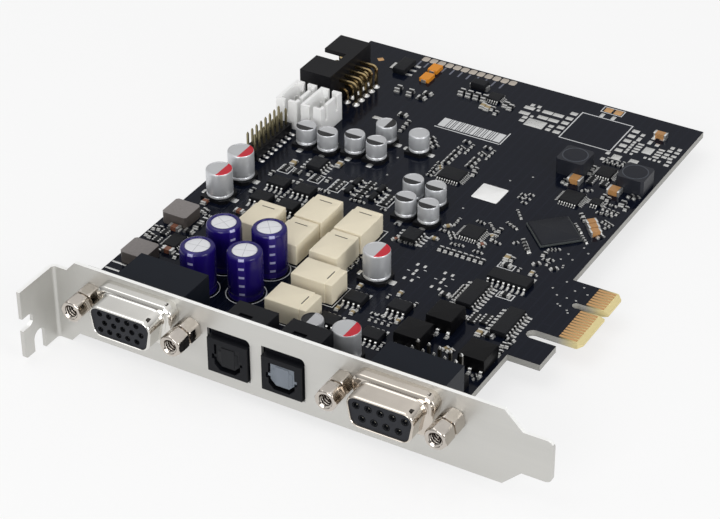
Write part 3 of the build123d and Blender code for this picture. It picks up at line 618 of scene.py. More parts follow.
# painted highlight: the point at the top of each rear pin is near white
painted_tip_highlight = above(tree, own_axes(tree)["Z"], REAR_TOP - TIP_LENGTH - TIP_MARGIN)
feed(tree, {"Base Color": mix_colour(tree, painted_tip_highlight, grain_colour(tree), ink(224, 224, 222))})
print("sleeve finish nodes:", len(sleeve_film.node_tree.nodes))

# %% [markdown]
# Two CAD nodes need the same treatment by place. The walls of the chokes are darker than their tops, which is painted
# shade with a little of the duller pressed surface, and every face of the bracket that faces up, chiefly its top edge,
# gets a painted highlight.

# %% Painted shade on choke walls, painted highlight on bracket edges
CHOKE_TOP, CHOKE_EDGE = 3.0, 0.12
FACES_UP, EDGE_METALLIC = 0.5, 0.30

tree = choke_grey.node_tree
heights = wired(tree, "SeparateXYZ", {"Vector": tree.nodes["place"].outputs["Object"]}).outputs
# painted shade, with a little of the duller pressed surface: choke walls below the top edge are darkened
wall = below(tree, heights["Z"], on_axis(2, CHOKE_TOP - CHOKE_EDGE))
feed(tree, {"Base Color": mix_colour(tree, wall, grain_colour(tree), ink(84, 78, 75))})

tree = bracket_steel.node_tree
facing = wired(tree, "SeparateXYZ", {"Vector": tree.nodes["place"].outputs["Normal"]}).outputs
# painted highlight: faces of the bracket that face up are near white and less metallic
painted_edge_highlight = above(tree, facing["Z"], FACES_UP)
duller = sums(tree, "MULTIPLY_ADD", painted_edge_highlight, EDGE_METALLIC - STEEL_METALLIC, STEEL_METALLIC)
feed(tree, {"Base Color": mix_colour(tree, painted_edge_highlight, grain_colour(tree), ink(252, 252, 250)), "Metallic": duller})
print("finishes in all:", len(bpy.data.materials))

# %% [markdown]
# ## Finishes on the CAD nodes
# Where the solid already has the right shape it stays and only gets its finish. The list pairs every such node
# with a material made above. The nodes that a finer piece stands for are dressed as well, so nothing is left plain.

# %% Dress the nodes
RELAYS, SLEEVED = numbered("relay", 7), numbered("sleeved_capacitor", 4)
STOUT = ["regulator", "diodes"] + numbered("pulse_transformer", 3)
NODE_FINISHES = {
    bracket_steel: ["mounting_bracket"], solder_mask: ["circuit_board"], contact_gold: ["edge_contacts"],
    pin_gold: ["ribbon_pins"], post_brass: ["post_pins", "rear_header_pins"], shell_nickel: ["socket_shells"],
    jack_nickel: ["jackscrews"], insert_plastic: ["vga_insert", "serial_insert"],
    socket_plastic: ["vga_housing", "serial_housing"],
    optical_plastic: ["left_optical_housing", "right_optical_housing"],
    shutter_black: ["left_optical_shutter"], shutter_grey: ["right_optical_shutter"],
    relay_cream: RELAYS, sleeve_film: SLEEVED,
    tinned: ["polymer_capacitor_cans", "filter_capacitor_cans", "vga_tails", "serial_tails", "plug_posts",
             "regulator_leads"],
    header_black: ["ribbon_shroud", "post_bar", "rear_header_bar", "polymer_capacitor_bases",
                   "filter_capacitor_bases"],
    plug_white: numbered("plug_header", 2), choke_grey: ["input_chokes"], inductor_black: ["power_inductors"],
    array_black: ["gate_array"], chip_black: ["narrow_chips", "square_chips"] + STOUT,
    tantalum_orange: ["tantalum_capacitors"], ceramic_tan: ["ceramic_capacitors"],
}
plain = set(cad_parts)
for material, names in NODE_FINISHES.items():
    for name in names:
        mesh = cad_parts[name].data
        mesh.materials.clear()
        mesh.materials.append(material)
        plain.remove(name)
print("nodes still plain:", sorted(plain))

# %% [markdown]
# ## Tall sleeved capacitors
# Each is an aluminium can in a shrunk blue film. The film has a waist near the foot where the can is rolled in, and
# it shrinks over the shoulder to a thin lip round the bare top. A turned profile gives all of that in one surface;
# the silver top is a second, slightly sunk, turned disc with a rounded rim.

# %% Sleeved capacitors
SLEEVE_SPOTS = [(22.8, 22.8), (22.8, 33.4), (32.6, 36.6), (32.7, 26.3)]
SLEEVE_TURNS = [8, 62, 40, 20]
FILM_PROFILE = [(3.2, 0.0), (3.86, 0.05), (4.0, 0.22), (4.0, 0.9), (3.93, 1.1), (3.84, 1.3), (3.84, 1.45), (3.93, 1.65),
                (4.0, 1.9), (4.0, 10.5), (3.95, 10.86), (3.8, 11.16), (3.56, 11.37), (3.3, 11.47), (3.08, 11.5),
                (2.92, 11.46), (2.84, 11.36), (2.82, 11.2), (2.7, 11.12)]
TOP_PROFILE = [(2.5, 11.0), (2.79, 11.04), (2.8, 11.2), (2.74, 11.25), (2.6, 11.27), (1.6, 11.28), (0.4, 11.28)]
make_piece("sleeved_capacitors", [(repeat(turned(profile, sides=64), SLEEVE_SPOTS, SLEEVE_TURNS), film)
                                  for profile, film in ((FILM_PROFILE, sleeve_film), (TOP_PROFILE, sleeve_top))],
           stands_for=SLEEVED)

# %% [markdown]
# ## Cans on square feet
# These surface-mount capacitors are drawn cans rolled in above a black foot, with a tin tab on either side. The
# crimp near the foot and the rolled edge of the top are what the light picks out, so the profile spends its points
# there. The same profile, given a radius and a top, makes both sizes.

# %% Polymer and filter cans
CRIMP = CAN_FOOT + 0.75
WALL_ROWS = [(0.5, CAN_FOOT), (0.1, CAN_FOOT + 0.03), (0.0, CAN_FOOT + 0.16), (0.0, CRIMP - 0.28), (0.1, CRIMP - 0.1),
             (0.16, CRIMP), (0.1, CRIMP + 0.1), (0.0, CRIMP + 0.28)]
SHOULDER_ROWS = [(0.0, 0.5), (0.04, 0.26), (0.14, 0.1), (0.28, 0.02), (0.4, 0.0), (0.48, 0.03), (0.52, TOP_SINK),
                 (0.7, TOP_SINK)]
DOWN_Y, ALONG_X, BACK_X = -90, 0, 180
POLYMER_SPOTS = [(6.4, 56.7), (6.4, 66.0), (54.7, 45.5), (63.8, 16.7)]
FILTER_PAIR_MIDDLES = [(14.9, 86.5), (27.0, 88.8), (48.9, 78.0), (51.0, 70.6)]
FILTER_PAIR_PITCH = 5.9
FILTER_PAIRS = [(x + side * FILTER_PAIR_PITCH / 2, y) for x, y in FILTER_PAIR_MIDDLES for side in BOTH_SIDES]
FILTER_TURNED, FILTER_PLAIN = [(28.1, 96.9), (54.3, 18.6)], [(37.2, 96.7)]


def can(radius, top, sides):
    """Foot bead, crimp and wall are inset from the radius by height; shoulder and sunk top by depth below the top."""
    return turned([(radius - inset, height) for inset, height in WALL_ROWS]
                  + [(radius - inset, top - depth) for inset, depth in SHOULDER_ROWS], sides)


polymer_can, filter_can = can(POLYMER_RADIUS, POLYMER_TOP, 56), can(FILTER_RADIUS, FILTER_TOP, 48)
make_piece("polymer_cans", [(repeat(polymer_can, POLYMER_SPOTS), polymer_can_metal)],
           stands_for=["polymer_capacitor_cans"])
make_piece("filter_cans", [(repeat(filter_can, FILTER_PAIRS, DOWN_Y), filter_can_metal),
                           (repeat(filter_can, FILTER_TURNED, [ALONG_X, BACK_X]), filter_can_metal),
                           (repeat(filter_can, FILTER_PLAIN), plain_can_metal)],
           stands_for=["filter_capacitor_cans"])

# %% [markdown]
# The tabs under the feet are flat tin strips bent out from below each can. A flat wire along a short path makes one,
# and two copies turned half round serve each can.

# %% Tin tabs of the cans
BED_PROFILE = [(0, 0.0), (0, 0.03), (0.12, 0.09), (0.3, 0.11)]


def tabs(reach, width):
    """Two strips along x, from under the foot to reach, each lying in a small raised bed of solder."""
    strip = flat_wire([(reach - 1.9, 0.1), (reach - 0.6, 0.1), (reach - 0.25, 0.1), (reach, 0.07)], width, 0.14)
    bed = shifted(moulded(1.7, width + 0.7, BED_PROFILE, corner=0.3), x=reach - 0.45)
    return repeat(join([strip, bed]), [(0, 0), (0, 0)], [0, 180])


filter_turns = [DOWN_Y] * len(FILTER_PAIRS) + [ALONG_X, BACK_X, ALONG_X]
filter_tabs = repeat(tabs(FILTER_RADIUS + 1.2, 0.8), FILTER_PAIRS + FILTER_TURNED + FILTER_PLAIN, filter_turns)
polymer_tabs = repeat(tabs(POLYMER_RADIUS + 1.25, 1.0), POLYMER_SPOTS)
make_piece("can_tabs", [(polymer_tabs, tinned), (filter_tabs, tinned)])

# %% [markdown]
# ## Jackscrews
# A jackscrew is hexagon bar with turned ends: where the cutter's cone meets the flats it leaves the curved corners
# that every nut has. That is simply the smaller of two radii, the hexagon's and the cone's, at each angle and depth.
# The bore carries a screw thread, which is a radius that swells and shrinks as the angle and the depth advance.

# %% Jackscrews
SOCKET_MIDDLES, SOCKET_HEIGHT, JACK_OFFSET = (23.6, 85.8), 8.45, 12.495
JACK_FLATS, JACK_TURNS = 4.7, (22, 4, 30, 12)
BORE_RADIUS, THREAD_PITCH, THREAD_DEPTH, THREAD_STEPS = 1.4, 0.7, 0.13, 7
THREAD_START, THREAD_END = 7.95, 3.2
CONE_ROWS = np.array([(0.0, 2.3), (0.14, 2.5), (0.34, 2.8), (3.7, 2.8), (3.86, 2.55), (3.95, 2.05), (4.3, 2.05),
                      (4.4, 2.55), (4.56, 2.8), (7.7, 2.8), (8.0, 2.52), (8.18, 2.36), (8.27, 2.22), (8.3, 2.05)])
MOUTH_ROWS = np.array([(8.3, 1.84), (8.26, 1.74), (8.05, 1.56)])


def jackscrew(turn, sides=72):
    """Radius(angle, depth) = min(hexagon(angle), cone(depth)), then a threaded bore run back down inside."""
    angle = np.linspace(0, 2 * np.pi, sides, endpoint=False)
    flat_angle = np.mod(angle - radians(turn) + np.pi / 6, np.pi / 3) - np.pi / 6
    hexagon = JACK_FLATS / 2 / np.cos(flat_angle)
    outside = np.minimum(hexagon[None], CONE_ROWS[:, 1:])
    mouth = np.repeat(MOUTH_ROWS[:, 1:], sides, 1)
    depth = np.arange(THREAD_START, THREAD_END, -THREAD_PITCH / THREAD_STEPS)
    thread = BORE_RADIUS + THREAD_DEPTH * np.cos(angle[None] - 2 * np.pi * depth[:, None] / THREAD_PITCH)
    radius = np.vstack([outside, mouth, thread])
    height = np.concatenate([CONE_ROWS[:, 0], MOUTH_ROWS[:, 0], depth])[:, None]
    return loft(spun(radius, height, sides))


stud = turned([(1.2, -3.4), (1.4, -3.2), (1.4, 0.0)], sides=24)
jack_places = [middle + side * JACK_OFFSET for middle in SOCKET_MIDDLES for side in BOTH_SIDES]
jackscrews = [facing_out(join([jackscrew(turn), stud]), x, 0, SOCKET_HEIGHT)
              for x, turn in zip(jack_places, JACK_TURNS)]
make_piece("jackscrew_hexes", [(join(jackscrews), jack_nickel)], stands_for=["jackscrews"], crease=28)

# %% [markdown]
# ## D-shaped socket shells
# Each shell is drawn from one sheet: a flange behind the bracket, a broad D-shaped pan that stands out of the cut-out,
# and the D tube that guides the plug. A D is a trapezium with round corners, so a loop is four arcs about fixed
# centres and growing the loop only changes the arc radius. Carrying the pan's loop and then the tube's along a stepped
# path gives the rounded shoulders of the pressing, the hollow fillet between them and the rolled front edge.

# %% Socket shells
TUBE_D, PAN_D, D_SLANT = (8.15, 3.85, 2.3), (10.0, 5.05, 2.4), 10.0
FLANGE_SIZE, FLANGE_PROFILE = (30.8, 11.2), [(0.1, -1.66), (0, -1.56), (0, -0.98), (0.1, -0.88)]
PAN_PATH = [(0.0, -0.3), (0.0, 2.45), (-0.03, 2.62), (-0.1, 2.75), (-0.22, 2.85), (-0.6, 3.12), (-0.66, 3.15)]
TUBE_PATH = [(0.5, 3.15), (0.34, 3.18), (0.18, 3.3), (0.06, 3.52), (0.0, 3.85), (0.0, 7.45), (-0.03, 7.75),
             (-0.1, 8.02), (-0.2, 8.2), (-0.32, 8.29), (-0.42, 8.27), (-0.5, 8.16), (-0.53, 7.95), (-0.53, 3.0)]


def d_loop(sizes, grow, height, per_corner=10):
    """Four arcs, wide side up: top right, top left, bottom left, bottom right, of radius corner + grow."""
    half_width, half_depth, corner = sizes
    slant = radians(D_SLANT)
    rise = half_depth - corner
    side = half_width * np.cos(slant) - half_depth * np.sin(slant) - corner
    wide, thin = ((side + sign * rise * np.sin(slant)) / np.cos(slant) for sign in (1, -1))
    middles = np.array([(wide, rise), (-wide, rise), (-thin, -rise), (thin, -rise)])[:, None]
    ends = np.radians([(-D_SLANT, 90), (90, 180 + D_SLANT), (180 + D_SLANT, 270), (270, 360 - D_SLANT)])
    angle = np.linspace(ends[:, 0], ends[:, 1], per_corner, axis=1)
    flat = middles + (corner + grow) * np.stack([np.cos(angle), np.sin(angle)], -1)
    return np.column_stack([flat.reshape(-1, 2), np.full(4 * per_corner, height)])


d_tube = loft([d_loop(sizes, *step) for sizes, path in ((PAN_D, PAN_PATH), (TUBE_D, TUBE_PATH)) for step in path])
pressing = join([d_tube, moulded(*FLANGE_SIZE, FLANGE_PROFILE, corner=1.2, per_corner=6)])
make_piece("socket_pressings", [(facing_out(pressing, x, 0, SOCKET_HEIGHT), metal)
                                for x, metal in zip(SOCKET_MIDDLES, (shell_nickel, shell_bronze))],
           stands_for=["socket_shells"], crease=40)

# %% [markdown]
# Two small square dimples are punched into the upper right of each shell, in a dark metal that is painted shade. Every
# bore in the dark insert holds a rolled contact and is ringed by a near-black rim, painted shade that widens the dark
# of the hole. These are moulded blocks and hoops, placed by the counts and pitches of the bores: three staggered rows
# of five in one socket, a row of five over a row of four in the other.

# %% Dimples, rolled contacts and painted bore shade
DIMPLE_PLACES = [(6.4, -6.6, 3.8), (7.5, -1.6, 4.98)]
PITCH_15, ROW_STEP_15, STAGGER_15 = 2.29, 1.98, 0.5725
PITCH_9, ROW_HALF_9 = 2.77, 1.42
FIVE_15 = [(x + shift, z) for z, shift in ((ROW_STEP_15, -STAGGER_15), (0.0, STAGGER_15), (-ROW_STEP_15, -STAGGER_15))
           for x in spread(5, PITCH_15)]
FIVE_FOUR_9 = [(x, ROW_HALF_9) for x in spread(5, PITCH_9)] + [(x, -ROW_HALF_9) for x in spread(4, PITCH_9)]
RIM_15 = [(0.46, 7.8), (0.66, 7.8), (0.66, 7.92), (0.6, 7.95), (0.5, 7.88)]
RIM_9 = [(0.56, 7.8), (0.86, 7.8), (0.86, 7.92), (0.78, 7.95), (0.62, 7.86)]


def contact_section(inner, outer, lip):
    """A tube wall between two radii, from deep in the bore to a rounded front edge."""
    return [(inner, 5.5), (outer, 5.5), (outer, 7.25), (outer - lip, 7.35), (inner + lip, 7.35), (inner, 7.25)]


dimple = moulded(0.9, 0.9, [(0, 0.0), (0.0, 0.04), (0.14, 0.06), (0.26, 0.02)], corner=0.15)
dimples = repeat(dimple, [(middle + x, y, SOCKET_HEIGHT + z) for middle in SOCKET_MIDDLES for x, y, z in DIMPLE_PLACES])
contacts, bore_shade_rings = [], []
for middle, bores, contact, shade_ring_section in ((SOCKET_MIDDLES[0], FIVE_15, contact_section(0.14, 0.32, 0.04), RIM_15),
                                    (SOCKET_MIDDLES[1], FIVE_FOUR_9, contact_section(0.18, 0.40, 0.05), RIM_9)):
    for made, ring in ((contacts, hoop(contact, sides=16)), (bore_shade_rings, hoop(shade_ring_section, sides=20))):
        made += [facing_out(ring, middle + x, 0, SOCKET_HEIGHT + z) for x, z in bores]
make_piece("shell_dimples", [(dimples, painted_dimple_shade)])
make_piece("rolled_contacts", [(join(contacts), shell_nickel)])
make_piece("painted_bore_shade_rings", [(join(bore_shade_rings), painted_bore_shade)])

# %% [markdown]
# ## Relays
# The cream cases are boxes with soft edges. One end of the lid is a little narrower, which shows as a small jog in
# the long edges, and a dark bar near that end marks the first pin. Two moulded blocks and a thin printed bar make one
# relay, laid along x; the copies are turned to lie along y where the board needs it.

# %% Relays
RELAY_LENGTH, RELAY_WIDTH, RELAY_HEIGHT = 10.3, 7.2, 5.2
RELAY_END, END_OVERLAP, END_INSET, END_DROP = 1.7, 0.6, 0.4, 0.02
RELAYS_ALONG_Y = [(33.2, 45.975), (33.2, 56.825), (43.6, 45.975), (43.6, 56.825), (23.1, 48.3)]
RELAYS_ALONG_X = [(46.3, 23.95), (46.3, 34.85)]
SOFT_BOX = [(0.08, 0.0), (0.0, 0.1), (0.0, RELAY_HEIGHT - 0.22), (0.03, RELAY_HEIGHT - 0.1),
            (0.09, RELAY_HEIGHT - 0.03), (0.18, RELAY_HEIGHT)]
LOWER_BOX = [(inset, height * (1 - END_DROP)) for inset, height in SOFT_BOX]
relay_block = moulded(RELAY_LENGTH - RELAY_END, RELAY_WIDTH, SOFT_BOX, corner=0.16)
relay_end = moulded(RELAY_END + END_OVERLAP, RELAY_WIDTH - END_INSET, LOWER_BOX, corner=0.16)
relay_case = join([shifted(relay_block, x=-RELAY_END / 2),
                   shifted(relay_end, x=(RELAY_LENGTH - RELAY_END - END_OVERLAP) / 2)])
relay_bar = shifted(plate(0.26, 3.2, 0.0, 0.02), x=3.0, z=RELAY_HEIGHT)
relay_spots = RELAYS_ALONG_Y + RELAYS_ALONG_X
relay_turns = [90] * len(RELAYS_ALONG_Y) + [0] * len(RELAYS_ALONG_X)
make_piece("relay_cases", [(repeat(relay_case, relay_spots, relay_turns), relay_cream),
                           (repeat(relay_bar, relay_spots, relay_turns), relay_ink)], stands_for=RELAYS)

# %% [markdown]
# ## Bent pins of the ribbon header
# Square wire leaves the shroud level and turns down into the board. The solid has a sharp bend; real wire is bent
# round a tool, so the path here is a straight run, a quarter circle and a straight drop, with a tapered tip.

# %% Ribbon header pins
WIRE_SIDE, WIRE_BEND, WIRE_TAPER, TAIL_FROM, TAIL_LOW = 0.64, 1.1, 0.55, -2.2, -2.67
RIBBON_ROWS, RIBBON_PITCH, RIBBON_COLUMNS = [(10.3, 3.2), (12.84, 5.74)], 2.54, 5
RIBBON_START, RIBBON_MIDDLE = 2.4, 113.75


def bent_wire(end, level):
    """Level run from the shroud, quarter bend, then down to the tail, in the x z plane."""
    path = np.vstack([[(RIBBON_START, level), (RIBBON_START + 0.5, level)],
                      bend((end - WIRE_BEND, level - WIRE_BEND), WIRE_BEND, 90, 0, 8),
                      [(end, TAIL_FROM), (end, TAIL_LOW)]])
    scale = np.ones(len(path))
    scale[[0, -1]] = WIRE_TAPER
    return flat_wire(path, WIRE_SIDE, WIRE_SIDE, scale)


ribbon_y = [RIBBON_MIDDLE + y for y in spread(RIBBON_COLUMNS, RIBBON_PITCH)]
ribbon_wires = [repeat(bent_wire(*row), [(0, y) for y in ribbon_y]) for row in RIBBON_ROWS]
make_piece("ribbon_wires", [(join(ribbon_wires), pin_gold)], stands_for=["ribbon_pins"])

# %% [markdown]
# ## Straight header pins
# The upright pins of the two headers are square wire cropped to a blunt point, and the point is what catches the
# light. A block whose top loop is pulled in makes one. The front header's pins stand on bent feet, each in its own
# wedge of solder; the rear header's pins are darkened as painted shade, with a painted highlight on their tips, which
# the finish takes from the height on the pin.

# %% Upright pins and their feet
POST_MIDDLE, POST_PITCH, POST_COUNT, POST_SIDE, POST_LOW, POST_TOP = (3.9, 81.6), 2.0, 8, 0.46, 2.3, 7.0
REAR_MIDDLE, REAR_PITCH, REAR_COLUMNS, REAR_LOW = (84.4, 18.2), 2.54, 5, 2.4
POINT_INSET = 0.32
FOOT_PATH = [(-0.25, 0.36), (0.95, 0.36), (1.15, 0.3), (1.35, 0.16), (1.55, 0.13), (2.2, 0.12)]
WEDGE_PROFILE = [(0, 0.0), (0, 0.05), (0.16, 0.2), (0.36, 0.3)]


def upright_pin(side, low, high):
    """Square loops up the pin, the last one pulled in to a blunt point."""
    return moulded(side, side, [(0, low), (0, high - TIP_LENGTH), (side * POINT_INSET, high)], corner=0.0, per_corner=1)


post_places = [(POST_MIDDLE[0] + side * POST_PITCH / 2, POST_MIDDLE[1] + y)
               for side in BOTH_SIDES for y in spread(POST_COUNT, POST_PITCH)]
post_foot = join([flat_wire(FOOT_PATH, POST_SIDE, 0.22), shifted(moulded(1.6, 1.0, WEDGE_PROFILE, corner=0.3), x=1.65)])
make_piece("post_wires", [(repeat(upright_pin(POST_SIDE, POST_LOW, POST_TOP), post_places), post_brass),
                          (repeat(post_foot, post_places, [180] * POST_COUNT + [0] * POST_COUNT), tinned)],
           stands_for=["post_pins"])
rear_places = [(REAR_MIDDLE[0] + x, REAR_MIDDLE[1] + y)
               for x in spread(REAR_COLUMNS, REAR_PITCH) for y in spread(2, REAR_PITCH)]
make_piece("rear_wires", [(repeat(upright_pin(WIRE_SIDE, REAR_LOW, REAR_TOP), rear_places), pin_painted_shade_and_highlight)],
           stands_for=["rear_header_pins"])

# %% [markdown]
# ## Chip leads and bodies
# A narrow chip stands on gull-wing leads: out of the body, down, and flat on its pad. The path of one lead is a flat
# wire, copied down both sides, and a thin tinned plate goes under each foot. The bodies are moulded in two halves, so
# each has a parting line with draft above and below and a bevel along the top: stacked rounded rectangles give that
# in six loops. Chips that lie along x are the same set turned by a quarter.

# %% Narrow chips
LEAD_PITCH, CHIP_HALF_WIDTH, CHIP_HEIGHT, PAD_HIGH = 1.27, 1.95, 1.5, 0.03
NARROW_CHIPS = {(4, 90): [(15.9, 67.5), (22.9, 67.5), (15.9, 59.8), (23.0, 59.8), (55.2, 35.4), (65.1, 37.4),
                          (54.3, 25.4), (65.1, 25.4)],
                (4, 0): [(19.5, 79.0), (53.8, 63.2)], (8, 90): [(81.1, 58.6)], (8, 0): [(76.6, 49.6), (88.0, 43.8)]}


def gull_lead(body_half, exit_height, foot_end, width, thickness, pad_size, pad_x):
    """Level exit, slanting drop and flat foot, along x, with its pad."""
    drop = foot_end - 0.62
    lead = flat_wire([(body_half - 0.15, exit_height), (body_half + 0.12, exit_height),
                      (body_half + 0.25, exit_height * 0.9), (drop, exit_height * 0.25), (drop + 0.14, 0.12),
                      (foot_end, 0.11)], width, thickness)
    return join([lead, shifted(plate(*pad_size, 0.0, PAD_HIGH), x=pad_x)])


def two_sided(lead, count, pitch):
    """The lead down the +x side and, turned half round, down the -x side."""
    return repeat(lead, [(0.0, y) for y in spread(count, pitch)] * 2, [0] * count + [180] * count)


def chip_body(length, width, low, high):
    """Draft out to the parting line, draft in again, and a bevelled top."""
    middle = (low + high) / 2
    return moulded(length, width, [(0.16, low), (0.0, middle - 0.06), (0.0, middle + 0.06), (0.12, high - 0.08),
                                   (0.2, high - 0.02), (0.26, high)], corner=0.12)


narrow_lead = gull_lead(CHIP_HALF_WIDTH, 0.78, 3.0, 0.44, 0.18, (1.5, 0.62), 2.85)
narrow_leads, narrow_bodies = [], []
for (count, turn), spots in NARROW_CHIPS.items():
    narrow_leads.append(repeat(two_sided(narrow_lead, count, LEAD_PITCH), spots, turn))
    body = chip_body(2 * CHIP_HALF_WIDTH, (count - 1) * LEAD_PITCH + 1.0, 0.1, CHIP_HEIGHT)
    narrow_bodies.append(repeat(body, spots, turn))
make_piece("narrow_chip_leads", [(join(narrow_leads), tinned)])
make_piece("narrow_chip_bodies", [(join(narrow_bodies), chip_black)], stands_for=["narrow_chips"])

# %% [markdown]
# The square chips, transistors, regulator, diode and pulse transformers have the same kind of body. The large square
# chip is a small board with a moulded lid, turned by 45 degrees.

# %% Square and stout bodies
SQUARE_CHIPS = [((49.3, 91.0), (6.0, 5.0)), ((65.0, 71.4), (4.9, 4.9)), ((78.2, 95.8), (5.0, 5.0)),
                ((83.9, 96.8), (2.6, 2.4)), ((80.4, 109.6), (4.2, 4.2)), ((8.2, 35.0), (3.6, 5.0)),
                ((41.6, 128.1), (3.6, 3.2))]
SQUARE_LOW, SQUARE_HIGH = 0.08, 1.0
TRANSISTORS, TRANSISTOR_SIZE = [(31.4, 77.3), (31.4, 73.4), (37.9, 77.3), (37.9, 73.4)], (1.5, 3.0)
TRANSFORMERS = [(76.2, 37.6), (73.3, 28.6), (88.7, 28.6)]
REGULATOR_SPOT, DIODE_SPOT = (14.5, 130.3), (35.75, 130.9)
GATE_SPOT, GATE_SIDE, GATE_TURN = (80.9, 80.95), 10.2, 45
square_bodies = [repeat(chip_body(*size, SQUARE_LOW, SQUARE_HIGH), [spot]) for spot, size in SQUARE_CHIPS]
square_bodies.append(repeat(chip_body(*TRANSISTOR_SIZE, SQUARE_LOW, SQUARE_HIGH), TRANSISTORS))
make_piece("square_chip_bodies", [(join(square_bodies), chip_black)], stands_for=["square_chips"])
stout_bodies = [repeat(chip_body(3.5, 6.5, 0.04, 1.6), [REGULATOR_SPOT]),
                repeat(chip_body(4.1, 2.7, 0.04, 2.0), [DIODE_SPOT])]
make_piece("stout_bodies", [(join(stout_bodies), chip_black),
                            (repeat(chip_body(6.4, 6.8, 0.15, 3.6), TRANSFORMERS), transformer_black)],
           stands_for=STOUT)
gate_board = moulded(GATE_SIDE, GATE_SIDE, [(0.06, 0.1), (0.0, 0.16), (0.0, 0.5), (0.06, 0.56)], corner=0.15)
gate_lid = moulded(GATE_SIDE, GATE_SIDE, [(0.3, 0.5), (0.3, 0.58), (0.46, 1.0), (0.58, 1.1)], corner=0.2)
make_piece("gate_package", [(repeat(gate_board, [GATE_SPOT], GATE_TURN), array_edge),
                            (repeat(gate_lid, [GATE_SPOT], GATE_TURN), array_black)],
           stands_for=["gate_array"])

# %% [markdown]
# The square chips have finer leads on all four sides, the transistors have two on one side and one on the other,
# and the pulse transformers have three stout leads along their near and far sides.

# %% Leads of the square chips, transistors and transformers
FINE_PITCH, CORNER_ROOM = 0.65, 0.7


def four_sided(length, width):
    """Fine leads on each side of a chip, as many as fit between its corners."""
    sides = []
    for turn, half, along in ((0, length / 2, width), (90, width / 2, length)):
        count = int((along - CORNER_ROOM) / FINE_PITCH) + 1
        fine = gull_lead(half, 0.45, half + 0.78, 0.26, 0.12, (0.6, 0.32), half + 0.66)
        sides.append(repeat(two_sided(fine, count, FINE_PITCH), [(0, 0)], turn))
    return join(sides)


small_lead = gull_lead(0.75, 0.5, 1.6, 0.42, 0.14, (1.0, 0.7), 1.5)
stout_lead = gull_lead(3.4, 0.8, 4.5, 0.7, 0.2, (1.4, 1.0), 4.3)
transistor_leads = repeat(small_lead, [(0, 0.95), (0, -0.95), (0, 0)], [0, 0, 180])
transformer_leads = repeat(two_sided(stout_lead, 3, 2.54), [(0, 0)], 90)
make_piece("fine_leads", [(join(repeat(four_sided(*size), [spot]) for spot, size in SQUARE_CHIPS), tinned),
                          (repeat(transistor_leads, TRANSISTORS), tinned),
                          (repeat(transformer_leads, TRANSFORMERS), tinned)])

# %% [markdown]
# ## Small chip parts
# Resistors, ceramic capacitors and resistor arrays are small blocks with tinned ends. There are a few hundred, so one
# block has only a few faces. They sit in rows, as a layout tool places them, so each row is given by its first place
# and, where it has more than one part, its count and its step. The rows are grouped by size and turn. Dark bodies are
# resistors, tan and brown ones are capacitors.

